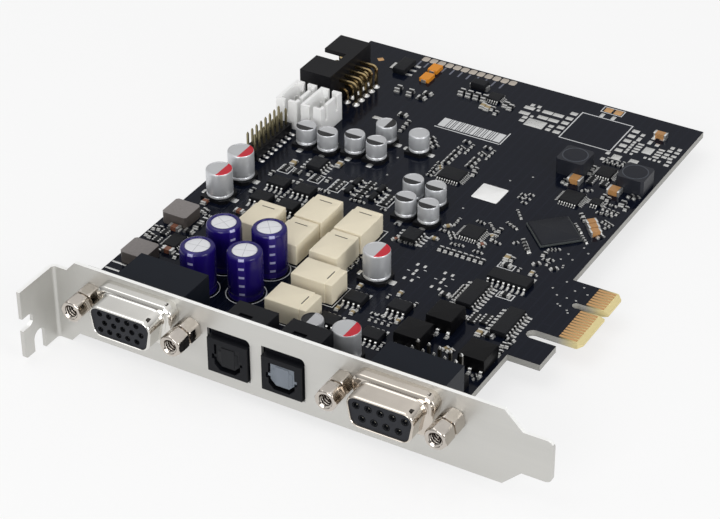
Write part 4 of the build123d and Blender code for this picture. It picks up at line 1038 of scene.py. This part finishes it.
# %% Sizes and rows of chip parts
CHIP_SIZES = {"tiny": (1.05, 0.55, 0.4), "small": (1.6, 0.85, 0.5), "middle": (2.1, 1.3, 0.7),
              "tall": (2.1, 1.35, 1.15), "big": (2.8, 1.5, 1.1)}
DARK_ROWS = {
    ("small", 90): [(11.7, 71), (11.7, 62.4), (19.4, 70.9), (19.4, 62.2), (19.6, 75.2), (24.9, 74.9),
        (52.8, 96, 2, 0.6, -1.9), (44.9, 121.8), (43.3, 123.2), (28.3, 107.2, 3, 0.2, -1.9),
        (61.6, 62.4, 8, 1.5, 0), (69.8, 75.6, 3, 0.1, -1.9), (82.9, 71.8), (77.6, 66.4), (78.2, 53.2),
        (91.6, 36.8), (90.6, 36.6), (91.2, 31.4, 2, 0, 2.4), (76.8, 110.4, 2, 0.2, -2.1),
        (73.2, 101.8, 2, 1.1, -0.4), (84.2, 100.2, 2, 1.4, -0.6), (90.9, 98), (6.6, 49.4, 2, 0.9, -0.4),
        (0.9, 37.8, 2, 1.2, 0.3), (0.9, 34.9, 2, 1.1, -0.4), (6.9, 30), (11.6, 30.4)],
    ("tiny", 90): [(19.4, 66.4, 2, 0, -1.7), (25, 75), (47.2, 105.2, 3, 0, -1.6), (52.8, 105.3, 3, 0, -1.6),
        (59.6, 75, 2, 0.1, -2), (85.2, 68.8), (80.8, 63.6), (57.2, 32.9), (61.4, 31, 4, 1.5, 0.1), (60.6, 40.4),
        (67.2, 40.6), (68.2, 22.6, 2, 0, 1.6), (78, 115.8, 4, 1.35, 0), (86.4, 95.6, 4, 1.2, -0.2)],
    ("small", 0): [(45.2, 106.2), (45.2, 100.8, 4, 0, -1.75), (50.8, 106.2), (50.8, 100.2, 3, 0, -1.75),
        (91.2, 38.9), (88.4, 105)],
    ("tiny", 60): [(44.8, 103.4, 2, 1, -0.5), (50.4, 103.4, 2, 1, -0.5), (88.8, 90.6, 3, 1, -0.4), (90.4, 88.6),
        (47.8, 50, 3, -0.1, -2.4)],
    ("tiny", 0): [(44, 94.6, 5, 0.1, -1.5), (63.2, 65.4, 3, 0.9, 0.2), (69, 65.3, 2, 1, 0),
        (58.4, 69.2, 2, 1.2, 0), (70.6, 71, 2, 1.2, -0.3), (64, 76.6, 2, 0.9, -0.2), (69.3, 92.6, 3, 0, -1.9),
        (67.6, 91.8, 2, 0, -1.5), (84, 70, 2, 1.2, 0.6), (84.6, 63.4), (73.3, 47, 6, 0, 1),
        (61, 33, 4, 1.6, 0.1), (78.2, 114.2, 4, 1.35, 0), (86.6, 97.6, 2, 1.4, 0), (86.2, 93.4, 3, 1.3, 0.1),
        (8.6, 48, 2, 1.4, -0.1), (34.2, 70.2, 3, 1.2, 0.1), (42.4, 70.2), (26.2, 70.4, 2, 1.1, -0.3),
        (48.2, 66.4), (51.4, 60.6, 4, 1.4, 0.1)],
    ("tall", 90): [(33.2, 126.2, 4, 2.1, 0), (18.65, 119.9, 2, 3.5, -0.3)],
    ("middle", 90): [(45.4, 126.4, 2, 1.5, -0.6), (89.4, 99.4), (9.1, 43, 2, 0, 2.5)],
    ("middle", 0): [(25.6, 119.1, 2, 0.4, 2.6), (25.6, 109.6), (71.1, 46.8), (86.4, 38), (8.6, 40.2),
        (77.6, 63.6), (82.6, 53.2)],
    ("small", 60): [(37, 103.4, 3, 1.2, -1.4), (89.6, 103.4, 2, 1.4, 0), (90.8, 84.4)],
    ("tiny", 45): [(60.6, 69.2, 3, 0.7, -0.8), (67.6, 69.4, 3, 0.8, -0.9), (75.2, 72.9),
        (83.2, 74.2, 3, 0.7, 0.4), (90.2, 24.2, 2, 0.8, -1), (79, 100.4, 2, 1.3, 0.6)],
    ("tiny", -45): [(66.8, 76.8, 4, 1, -1), (83.9, 86.2, 3, 1, -1), (87.4, 82.4, 3, 0.7, -0.7)],
    ("tiny", -30): [(70.2, 79.2, 3, 1.1, -0.5)],
    ("tiny", -50): [(69.8, 84.8, 3, 0.8, -1)],
    ("small", -45): [(76.6, 74.3, 4, 0.8, -1), (84.4, 89, 2, -1, 1.4)],
    ("small", 45): [(83, 67.6, 2, 4.3, 0.1)],
}
TAN_ROWS = {
    ("middle", 90): [(13.9, 77.2), (23.7, 82), (76.4, 66.3), (84.2, 37.9), (40.7, 123.2), (42.1, 122.8)],
    ("small", 0): [(58.4, 65.4)],
    ("small", 90): [(83.8, 63.7), (62.3, 42.5), (53.2, 40.6), (53.2, 31), (56.8, 31.2), (66.9, 33.2)],
    ("small", -45): [(69.4, 72.6)],
    ("small", 60): [(80.6, 29.4, 2, 1.2, -0.2)],
    ("small", 45): [(58.6, 71.4)],
    ("tiny", 45): [(45.3, 92.4, 2, -0.6, 0.9)],
}
BROWN_ROWS = {
    ("middle", 0): [(13.9, 53.1)],
    ("big", 0): [(8.9, 31.2), (5.1, 39.6)],
    ("middle", 90): [(4.9, 52.6)],
    ("small", 45): [(68.8, 68.6), (50.9, 60.9)],
}
print("groups of rows:", len(DARK_ROWS), len(TAN_ROWS), len(BROWN_ROWS))

# %% [markdown]
# One block is five plain plates: a body, two end caps that stand a little proud of it, and the low solder at its two
# feet. A finer model would have rounded caps, but at this size the step between body and cap is all that is seen.

# %% Blocks with tinned ends
def chip_part(length, width, height):
    """Body and two end caps, the caps standing a little proud of the body, laid along x, with solder at their feet."""
    cap = max(length * 0.24, 0.25)
    body = plate(length - 0.1, width - 0.06, 0.03, height - 0.03)
    ends = mirrored_pair(plate(cap, width, 0.0, height), (length - cap) / 2)
    fillets = mirrored_pair(plate(0.3, width + 0.1, 0.0, height * 0.35), length / 2 + 0.12)
    return body, join([ends, fillets])


def chip_rows(groups):
    """All the bodies, and all the tinned ends, of several groups of rows."""
    bodies, ends = [], []
    for (size, turn), rows in groups.items():
        for made, half in zip((bodies, ends), chip_part(*CHIP_SIZES[size])):
            made.append(in_rows(half, rows, turn))
    return join(bodies), join(ends)


(dark_bodies, dark_ends), (tan_bodies, tan_ends), (brown_bodies, brown_ends) = (
    chip_rows(groups) for groups in (DARK_ROWS, TAN_ROWS, BROWN_ROWS))
make_piece("chip_resistors", [(dark_bodies, chip_black), (dark_ends, tinned)])
make_piece("chip_capacitors", [(tan_bodies, ceramic_pale), (brown_bodies, ceramic_brown),
                               (join([tan_ends, brown_ends]), tinned)])

# %% [markdown]
# Resistor arrays are longer blocks with several terminals down each side, given by place, count and pitch.

# %% Resistor arrays
ARRAYS = [((13.5, 74.4), 4, 0.7), ((22.0, 74.2), 4, 0.7), ((28.0, 73.9), 4, 1.15), ((41.4, 73.9), 4, 1.15),
          ((34.8, 78.4), 2, 0.8), ((34.8, 76.3), 2, 0.8), ((34.8, 74.1), 2, 0.8), ((34.8, 72.0), 2, 0.8),
          ((16.7, 74.3), 3, 0.65), ((78.8, 105.2), 4, 0.8), ((82.0, 105.3), 3, 0.7), ((80.7, 42.2), 4, 0.9),
          ((83.2, 43.0), 4, 0.9), ((4.1, 37.2), 3, 0.7), ((4.1, 34.0), 3, 0.7)]
ARRAY_WIDTH = 1.5
array_bodies, array_ends = [], []
for spot, count, pitch in ARRAYS:
    terminal = plate(0.42, pitch * 0.55, 0.0, 0.52)
    places = [(side * ARRAY_WIDTH / 2, y) for side in BOTH_SIDES for y in spread(count, pitch)]
    array_bodies.append(repeat(plate(ARRAY_WIDTH, count * pitch, 0.03, 0.5), [spot]))
    array_ends.append(repeat(repeat(terminal, places), [spot]))
make_piece("resistor_arrays", [(join(array_bodies), chip_black), (join(array_ends), tinned)])

# %% [markdown]
# ## End caps of the larger parts
# The big ceramic, tantalum and diode blocks are CAD nodes or moulded bodies. The tinned ends of a ceramic wrap round
# it, so a thin cap a hair larger than the block goes over each end; the others have flat tabs.

# %% Caps on ceramics, tabs on tantalums and diodes
CAP_PROUD = 0.05
CERAMICS = [((3.2, 2.5, 0.55), [(75.5, 103.1), (85.6, 103.1)], 0), ((3.2, 1.6, 0.55), [(84.7, 131.4)], 0),
            ((2.6, 1.7, 0.45), [(86.8, 88.1), (88.05, 86.55), (89.25, 84.95)], 45)]
CERAMIC_HEIGHT = 1.3


def end_caps(length, width, cap):
    """Two caps along x that stand proud of a ceramic block of this size."""
    rows = [(0, 0.0), (0, CERAMIC_HEIGHT), (0.08, CERAMIC_HEIGHT + CAP_PROUD)]
    return mirrored_pair(moulded(cap, width + 2 * CAP_PROUD, rows, corner=0.1), (length - cap) / 2 + CAP_PROUD)


ceramic_caps = join(repeat(end_caps(*size), spots, turn) for size, spots, turn in CERAMICS)
tantalum_tabs = repeat(mirrored_pair(plate(0.5, 1.3, 0.0, 0.8), 1.8), [(21.8, 133.3), (22.1, 128.4)], 90)
diode_tabs = repeat(mirrored_pair(plate(0.6, 1.6, 0.0, 1.1), 2.2), [DIODE_SPOT])
make_piece("end_caps", [(ceramic_caps, tinned), (tantalum_tabs, tinned), (diode_tabs, tinned)])

# %% [markdown]
# ## Round tops of the power inductors
# A disc of ferrite closes each inductor. It is a turned profile with a shallow groove, sunk a little into the block,
# and a paler bead of glue runs round it.

# %% Inductor discs
INDUCTOR_SPOTS = [(73.0, 108.0), (88.5, 108.0)]
disc = turned([(2.9, 3.95), (2.95, 4.01), (2.9, 4.05), (2.75, 4.06), (2.6, 4.03), (2.45, 4.05), (1.2, 4.06),
               (0.3, 4.06)], sides=56)
bead = hoop([(2.86, 4.0), (3.14, 4.0), (3.14, 4.04), (3.06, 4.07), (2.94, 4.07), (2.86, 4.04)])
make_piece("inductor_discs", [(repeat(disc, INDUCTOR_SPOTS), disc_black), (repeat(bead, INDUCTOR_SPOTS), disc_rim)])

# %% [markdown]
# ## Shutter panels
# Each optical jack is closed by a sprung flap with a raised middle panel. The panel rides on its own shutter body, so
# it swings in with the flap.

# %% Raised panels on the shutters
JACK_MIDDLES = {"left": 45.2, "right": 58.45}
FLAP_FACE = -0.4
panel = moulded(3.3, 4.4, [(0, 0.0), (0.0, 0.1), (0.08, 0.18)], corner=0.2)
lower_panel = moulded(4.9, 3.2, [(0, 0.0), (0.0, 0.05), (0.06, 0.09)], corner=0.2)
for side, flap, slot in (("left", shutter_black, "shutter_black"), ("right", shutter_grey, "shutter_grey")):
    x = JACK_MIDDLES[side]
    raised = join([facing_out(panel, x, FLAP_FACE, 3.9), facing_out(lower_panel, x, FLAP_FACE, 3.7)])
    make_piece(f"{side}_shutter_panel", [(raised, flap)], body=f"{side}_shutter")

# %% [markdown]
# ## Pads, holes and ink
# Bare tinned pads, plated holes and white printed lines lie almost flush with the mask. Painting them in the board's
# material would lose them in close views, so each is a plate a few hundredths of a millimetre thick. Pads are grouped
# by size, and their rows are again given by first place, count and step.

# %% Bare pads
EMPTY_PADS = [(60.05, 54.6), (61.95, 54.55), (60.95, 52.3), (60.95, 50.9), (59.95, 48.5), (61.88, 48.45)]
EMPTY_SHIFTS = (0.0, 6.9)
PAD_ROWS = {
    (1.8, 1.4): [(61.7, 131.2), (61.7, 128.6, 4, 0, -2.44), (78.4, 131.0, 5, 0, -2.48)],
    (2.7, 1.45): [(50.9, 128.4, 2, 0, -2.8), (55.8, 128.6, 2, 2.9, 0), (55.8, 125.8, 2, 2.9, 0)],
    (5.0, 3.5): [(55.5, 122.3)], (1.3, 1.2): [(51.9, 123.8, 2, 0, -1.7), (59.4, 123.1, 2, 0, -1.8)],
    (1.0, 1.2): [(51.0, 130.0), (52.8, 130.0), (80.6, 130.2), (83.5, 130.2), (85.5, 130.7), (89.3, 128.2),
                 (91.1, 128.2), (76.7, 118.6), (76.7, 115.6)],
    (0.8, 1.0): [(53.3, 128.4), (53.2, 125.0), (80.2, 126.2, 5, 0, -1.27)],
    (1.0, 1.8): [(80.6, 128.0), (83.5, 128.0), (68.0, 134.0), (71.0, 134.0)], (1.0, 1.3): [(85.5, 127.7)],
    (1.6, 0.75): [(82.0, 126.1, 4, 0, -1.23), (87.4, 126.1, 4, 0, -1.23)], (2.4, 3.0): [(84.7, 124.2)],
    (1.25, 0.95): [(89.3, 126.6, 2, 0, -1.8), (91.1, 126.6, 2, 0, -1.8), (89.2, 123.4), (90.7, 123.4), (91.1, 122.0),
                   (91.1, 120.3)],
    (0.7, 0.9): [(81.7, 121.0), (85.3, 121.0, 4, 1.22, 0)], (2.2, 2.2): [(79.3, 117.8), (83.7, 117.8)],
    (2.3, 1.3): [(20.6, 105.7)], (0.62, 1.0): [(x + shift, y) for shift in EMPTY_SHIFTS for x, y in EMPTY_PADS],
}


def pad(length, width, corner=0.12, bevel=0.08):
    """A low plate with rounded corners and a bevel, as solder sets on a pad."""
    return moulded(length, width, [(0, 0.0), (0, PAD_HIGH), (bevel, PAD_HIGH + 0.02)], corner=corner)


pads = [in_rows(pad(*size), rows) for size, rows in PAD_ROWS.items()]
pads.append(repeat(moulded(3.8, 0.55, [(0, 0.0), (0, 0.06), (0.1, 0.1)], corner=0.15), [(1.9, 22.1), (1.9, 19.4)]))
edge_pads = in_rows(pad(1.9, 2.2, 0.5, 0.1), [(17.0, 137.3, 12, 2.25)])
bridge_pads = repeat(pad(2.0, 2.2, 0.2, 0.1), [(68.4, 137.0), (71.0, 137.0)])
corner_pad = repeat(pad(1.5, 1.5, 0.1, 0.1), [(6.9, 131.6)], 45)
make_piece("bare_pads", [(join(pads), tinned), (edge_pads, bare_copper)])
make_piece("bridge_pads", [(join([bridge_pads, corner_pad]), contact_gold)])

# %% [markdown]
# A plated hole is a ring with a dark middle. Two turned washers are enough at this size: one tinned, and one dark,
# which is painted shade standing in for the open hole.

# %% Plated holes
HOLE_SPOTS = [(91.9, 64.8), (96.2, 64.6), (95.0, 62.5), (98.0, 62.5), (90.2, 61.2), (92.2, 59.2), (94.6, 59.2),
              (96.8, 59.2), (89.4, 78.8), (91.2, 77.2), (87.4, 74.9), (89.2, 73.2), (86.8, 72.2), (88.4, 70.2),
              (88.6, 69.4), (93.8, 56.2), (94.6, 55.8), (96.6, 55.0), (97.2, 54.2), (34.0, 92.0), (35.6, 84.0),
              (58.0, 80.0), (62.0, 96.0), (66.0, 100.0)]
ring = turned([(0.1, 0.0), (0.24, 0.0), (0.24, 0.025), (0.2, 0.035), (0.1, 0.035)], sides=12)
# painted shade: a dark washer in the middle of each ring
painted_hole_shade = turned([(0.09, 0.0), (0.1, 0.038), (0.05, 0.039)], sides=8)
make_piece("plated_holes", [(repeat(ring, HOLE_SPOTS), tinned), (repeat(painted_hole_shade, HOLE_SPOTS), header_black)])

# %% [markdown]
# The white print is a set of thin lines: frames round parts, rings round the tall capacitors, ticks beside the edge
# pads and a block of plain bars. Each frame is four bars, each ring a flat hoop.

# %% Printed frames, rings and bars
INK_HIGH = 0.018
ARRAY_FRAME, THIN_LINE, STOUT_LINE = 2.9, 0.2, 0.26
FRAMES = [((70.0, 126.2), (13.5, 13.3), 0.28), ((69.6, 136.9), (5.5, 2.6), 0.24)]
FRAMES += [(spot, (11.2, 8.1), THIN_LINE) for spot in RELAYS_ALONG_X]
FRAMES += [((x, 51.4), (8.4, 22.6), THIN_LINE) for x in (43.6, 33.2)]
FRAMES += [(spot, (ARRAY_FRAME, count * pitch + 0.5), STOUT_LINE) for spot, count, pitch in ARRAYS[:4]]
FRAMES += [(spot, (3.7, 2.0), STOUT_LINE) for spot in ((77.6, 63.6), (82.6, 53.2))]
EMPTY_TICKS = [(59.3, 51.6), (62.7, 53.2), (62.6, 50.2)]
BAR_WIDTHS = [1.9, 0.35, 0.6, 0.3, 0.8, 0.3, 0.35, 0.7, 0.3, 0.55, 0.3, 0.9, 0.35, 0.3, 0.6, 0.35, 0.8, 0.3, 0.35, 0.5,
              1.9]
BARS_FROM, BARS_LENGTH, BARS_Y, BAR_HEIGHT = 35.0, 16.9, 112.0, 4.0
RING_INNER, RING_OUTER = 4.4, 4.6


def line(length, width):
    """A printed bar."""
    return plate(length, width, 0.0, INK_HIGH)


def frame_lines(length, width, thick):
    """Four bars round a rectangle, lying flat."""
    long_side = line(length + thick, thick)
    return join([shifted(long_side, y=side * width / 2) for side in BOTH_SIDES]
                + [mirrored_pair(line(thick, width - thick), length / 2)])


printed = [repeat(frame_lines(*size, thick), [spot]) for spot, size, thick in FRAMES]
printed.append(repeat(hoop([(RING_INNER, 0.0), (RING_OUTER, 0.0), (RING_OUTER, INK_HIGH), (RING_INNER, INK_HIGH)]),
                      SLEEVE_SPOTS))
bar_gap = (BARS_LENGTH - sum(BAR_WIDTHS)) / (len(BAR_WIDTHS) - 1)
bar_starts = BARS_FROM + np.concatenate([[0], np.cumsum(np.array(BAR_WIDTHS[:-1]) + bar_gap)])
printed += [repeat(line(width, BAR_HEIGHT), [(start + width / 2, BARS_Y)])
            for start, width in zip(bar_starts, BAR_WIDTHS)]
printed += [repeat(line(17.9, 0.3), [(43.5, 109.3)]), repeat(line(0.3, 5.9), [(52.4, 112.2)])]
printed.append(repeat(line(0.7, 0.22), [(x + shift, y) for shift in EMPTY_SHIFTS for x, y in EMPTY_TICKS]))
printed.append(repeat(line(0.22, 10.0), [(4.1, 23.0)]))
edge_ticks = in_rows(line(0.45, 2.6), [(16.4, 134.6, 2, 2.1), (23.5, 134.6, 8, 2.35)])
make_piece("printed_lines", [(join(printed), board_ink), (edge_ticks, track_grey)])
paper = moulded(6.6, 6.6, [(0, 0.0), (0, 0.08), (0.04, 0.1)], corner=0.3)
make_piece("blank_label", [(repeat(paper, [(60.5, 88.6)]), label_paper)])

# %% [markdown]
# ## Solder on both faces
# Every pin that goes through the board ends in a cone of solder, on the near face round the bent pins and on the
# underside round all of them. A turned concave profile is the shape that molten solder takes between a wire and a pad.

# %% Solder cones
CONE_UP = [(0.95, 0.0), (0.92, 0.05), (0.7, 0.16), (0.5, 0.4), (0.4, 0.75)]
CONE_DOWN = [(0.3, 1.1), (0.42, 0.75), (0.55, 0.4), (0.78, 0.14), (1.0, 0.04), (1.02, 0.0)]
RELAY_PIN_ROW, RELAY_PINS = 2.54, (-4.1, -1.0, 1.0, 3.1)
FIFTEEN_ROWS, NINE_ROWS = (6.6, 9.1, 11.6), ((13.5, 5), (12.08, 4))
cone_up = turned(CONE_UP, sides=16)
cone_down = turned([(radius, BOARD_UNDER - depth) for radius, depth in CONE_DOWN], sides=16)
ribbon_holes = [(x, y) for x, _ in RIBBON_ROWS for y in ribbon_y]
under_holes = ribbon_holes + [(x, 95.9 + y) for x in (3.6, 10.55) for y in spread(3, 2.5)] + rear_places
under_holes += [(x + side * 1.75, y) for x, y in SLEEVE_SPOTS for side in BOTH_SIDES]
for across in (-RELAY_PIN_ROW, RELAY_PIN_ROW):
    for along in RELAY_PINS:
        under_holes += [(x + across, y + along) for x, y in RELAYS_ALONG_Y]
        under_holes += [(x + along, y + across) for x, y in RELAYS_ALONG_X]
under_holes += [(x + side * 2.5, 10.2) for x in JACK_MIDDLES.values() for side in (-1, 0, 1)]
under_holes += [(SOCKET_MIDDLES[0] + x, y) for y in FIFTEEN_ROWS for x in spread(5, PITCH_15)]
under_holes += [(SOCKET_MIDDLES[1] + x, y) for y, count in NINE_ROWS for x in spread(count, PITCH_9)]
make_piece("solder_cones", [(repeat(cone_up, ribbon_holes), tinned), (repeat(cone_down, under_holes), tinned)])

# %% [markdown]
# ## Floor and light
# The card stands on a pale plain floor in soft studio light, from one lamp above and to the left and two lower ones in
# front and to the right. To the camera the surroundings are white. To reflections they are a tent, white overhead and
# dim at the horizon, so that polished metal gets the light and dark bands that give it form. The floor is nearly white
# to the camera and still takes the shadow.

# %% Floor
FLOOR_SIZE, FLOOR_GAP, SHADOW_SHARE = 6.0, 0.0002, 0.28
half = FLOOR_SIZE / 2
floor_mesh = bpy.data.meshes.new("floor")
floor_mesh.from_pydata([(-half, -half, 0), (half, -half, 0), (half, half, 0), (-half, half, 0)], [], [(0, 1, 2, 3)])
floor = bpy.data.objects.new("floor", floor_mesh)
bpy.context.scene.collection.objects.link(floor)
floor.location.z = cad_box[0][2] - FLOOR_GAP

floor_pale = bpy.data.materials.new("floor_pale")
floor_pale.use_nodes = True
tree = floor_pale.node_tree
feed(tree, {"Base Color": (0.9, 0.9, 0.9, 1.0), "Roughness": 0.9, "Specular IOR Level": 0.0})
rays = wired(tree, "LightPath").outputs
seen = sums(tree, "MAXIMUM", rays["Is Camera Ray"], rays["Is Glossy Ray"])
seen = sums(tree, "MAXIMUM", seen, rays["Is Transmission Ray"])
share = sums(tree, "MULTIPLY", seen, 1.0 - SHADOW_SHARE)
glow = wired(tree, "Emission").outputs[0]
mixed = wired(tree, "MixShader", {0: share, 1: tree.nodes["Principled BSDF"].outputs[0], 2: glow})
fill(tree, tree.nodes["Material Output"], {"Surface": mixed.outputs[0]})
floor_mesh.materials.append(floor_pale)
print("floor at", round(floor.location.z, 5))

# %% World and lamps
AMBIENT, HORIZON, TENT_LOW, TENT_HIGH = 0.50, 0.22, 0.05, 0.85
LAMPS = {"lamp_above": ((-0.25, -0.15, 0.75), 0.6, 1.4), "lamp_front": ((0.1, -0.9, 0.35), 0.5, 3.4),
         "lamp_right": ((0.9, -0.25, 0.35), 0.5, 3.4)}
world = bpy.data.worlds.new("studio")
bpy.context.scene.world = world
world.use_nodes = True
tree = world.node_tree
direction = wired(tree, "TexCoord").outputs["Generated"]
upward = wired(tree, "SeparateXYZ", {"Vector": direction}).outputs["Z"]
tent = wired(tree, "MapRange", {"Value": upward, "From Min": TENT_LOW, "From Max": TENT_HIGH, "To Min": HORIZON})
rays = wired(tree, "LightPath").outputs
strength = AMBIENT
for ray, shown in (("Is Glossy Ray", tent.outputs["Result"]), ("Is Transmission Ray", 1.0), ("Is Camera Ray", 1.0)):
    strength = wired(tree, "Mix", {"Factor": rays[ray], "A": strength, "B": shown}).outputs["Result"]
fill(tree, tree.nodes["Background"], {"Color": (1.0, 1.0, 1.0, 1.0), "Strength": strength})
for name, (place, size, watts) in LAMPS.items():
    lamp = bpy.data.lights.new(name, "AREA")
    lamp.shape, lamp.size, lamp.energy = "SQUARE", size, watts
    holder = bpy.data.objects.new(name, lamp)
    bpy.context.scene.collection.objects.link(holder)
    holder.location = place
    holder.rotation_euler = (-holder.location).to_track_quat("-Z", "Y").to_euler()
print("lamps:", len(bpy.data.lights))

# %% [markdown]
# ## Camera
# The camera looks down on the card from the front right. Its place and lens were found by matching the corners of the
# bracket and the board, so the card falls where it does in the picture.

# %% Camera
EYE = (0.20923, -0.39499, 0.30431)
AZIMUTH, ELEVATION, ROLL = 30.12, 34.05, -0.284
LENS, SENSOR, NEAREST = 119.04, 36.0, 0.01
camera = bpy.data.objects.new("camera", bpy.data.cameras.new("camera"))
bpy.context.scene.collection.objects.link(camera)
camera.data.lens, camera.data.sensor_width, camera.data.clip_start = LENS, SENSOR, NEAREST
camera.matrix_world = (Matrix.Translation(EYE) @ Matrix.Rotation(radians(AZIMUTH), 4, "Z")
                       @ Matrix.Rotation(radians(90 - ELEVATION), 4, "X") @ Matrix.Rotation(radians(ROLL), 4, "Z"))
bpy.context.scene.camera = camera
bpy.context.scene.view_settings.view_transform = "Standard"
print("lens", LENS, "mm")
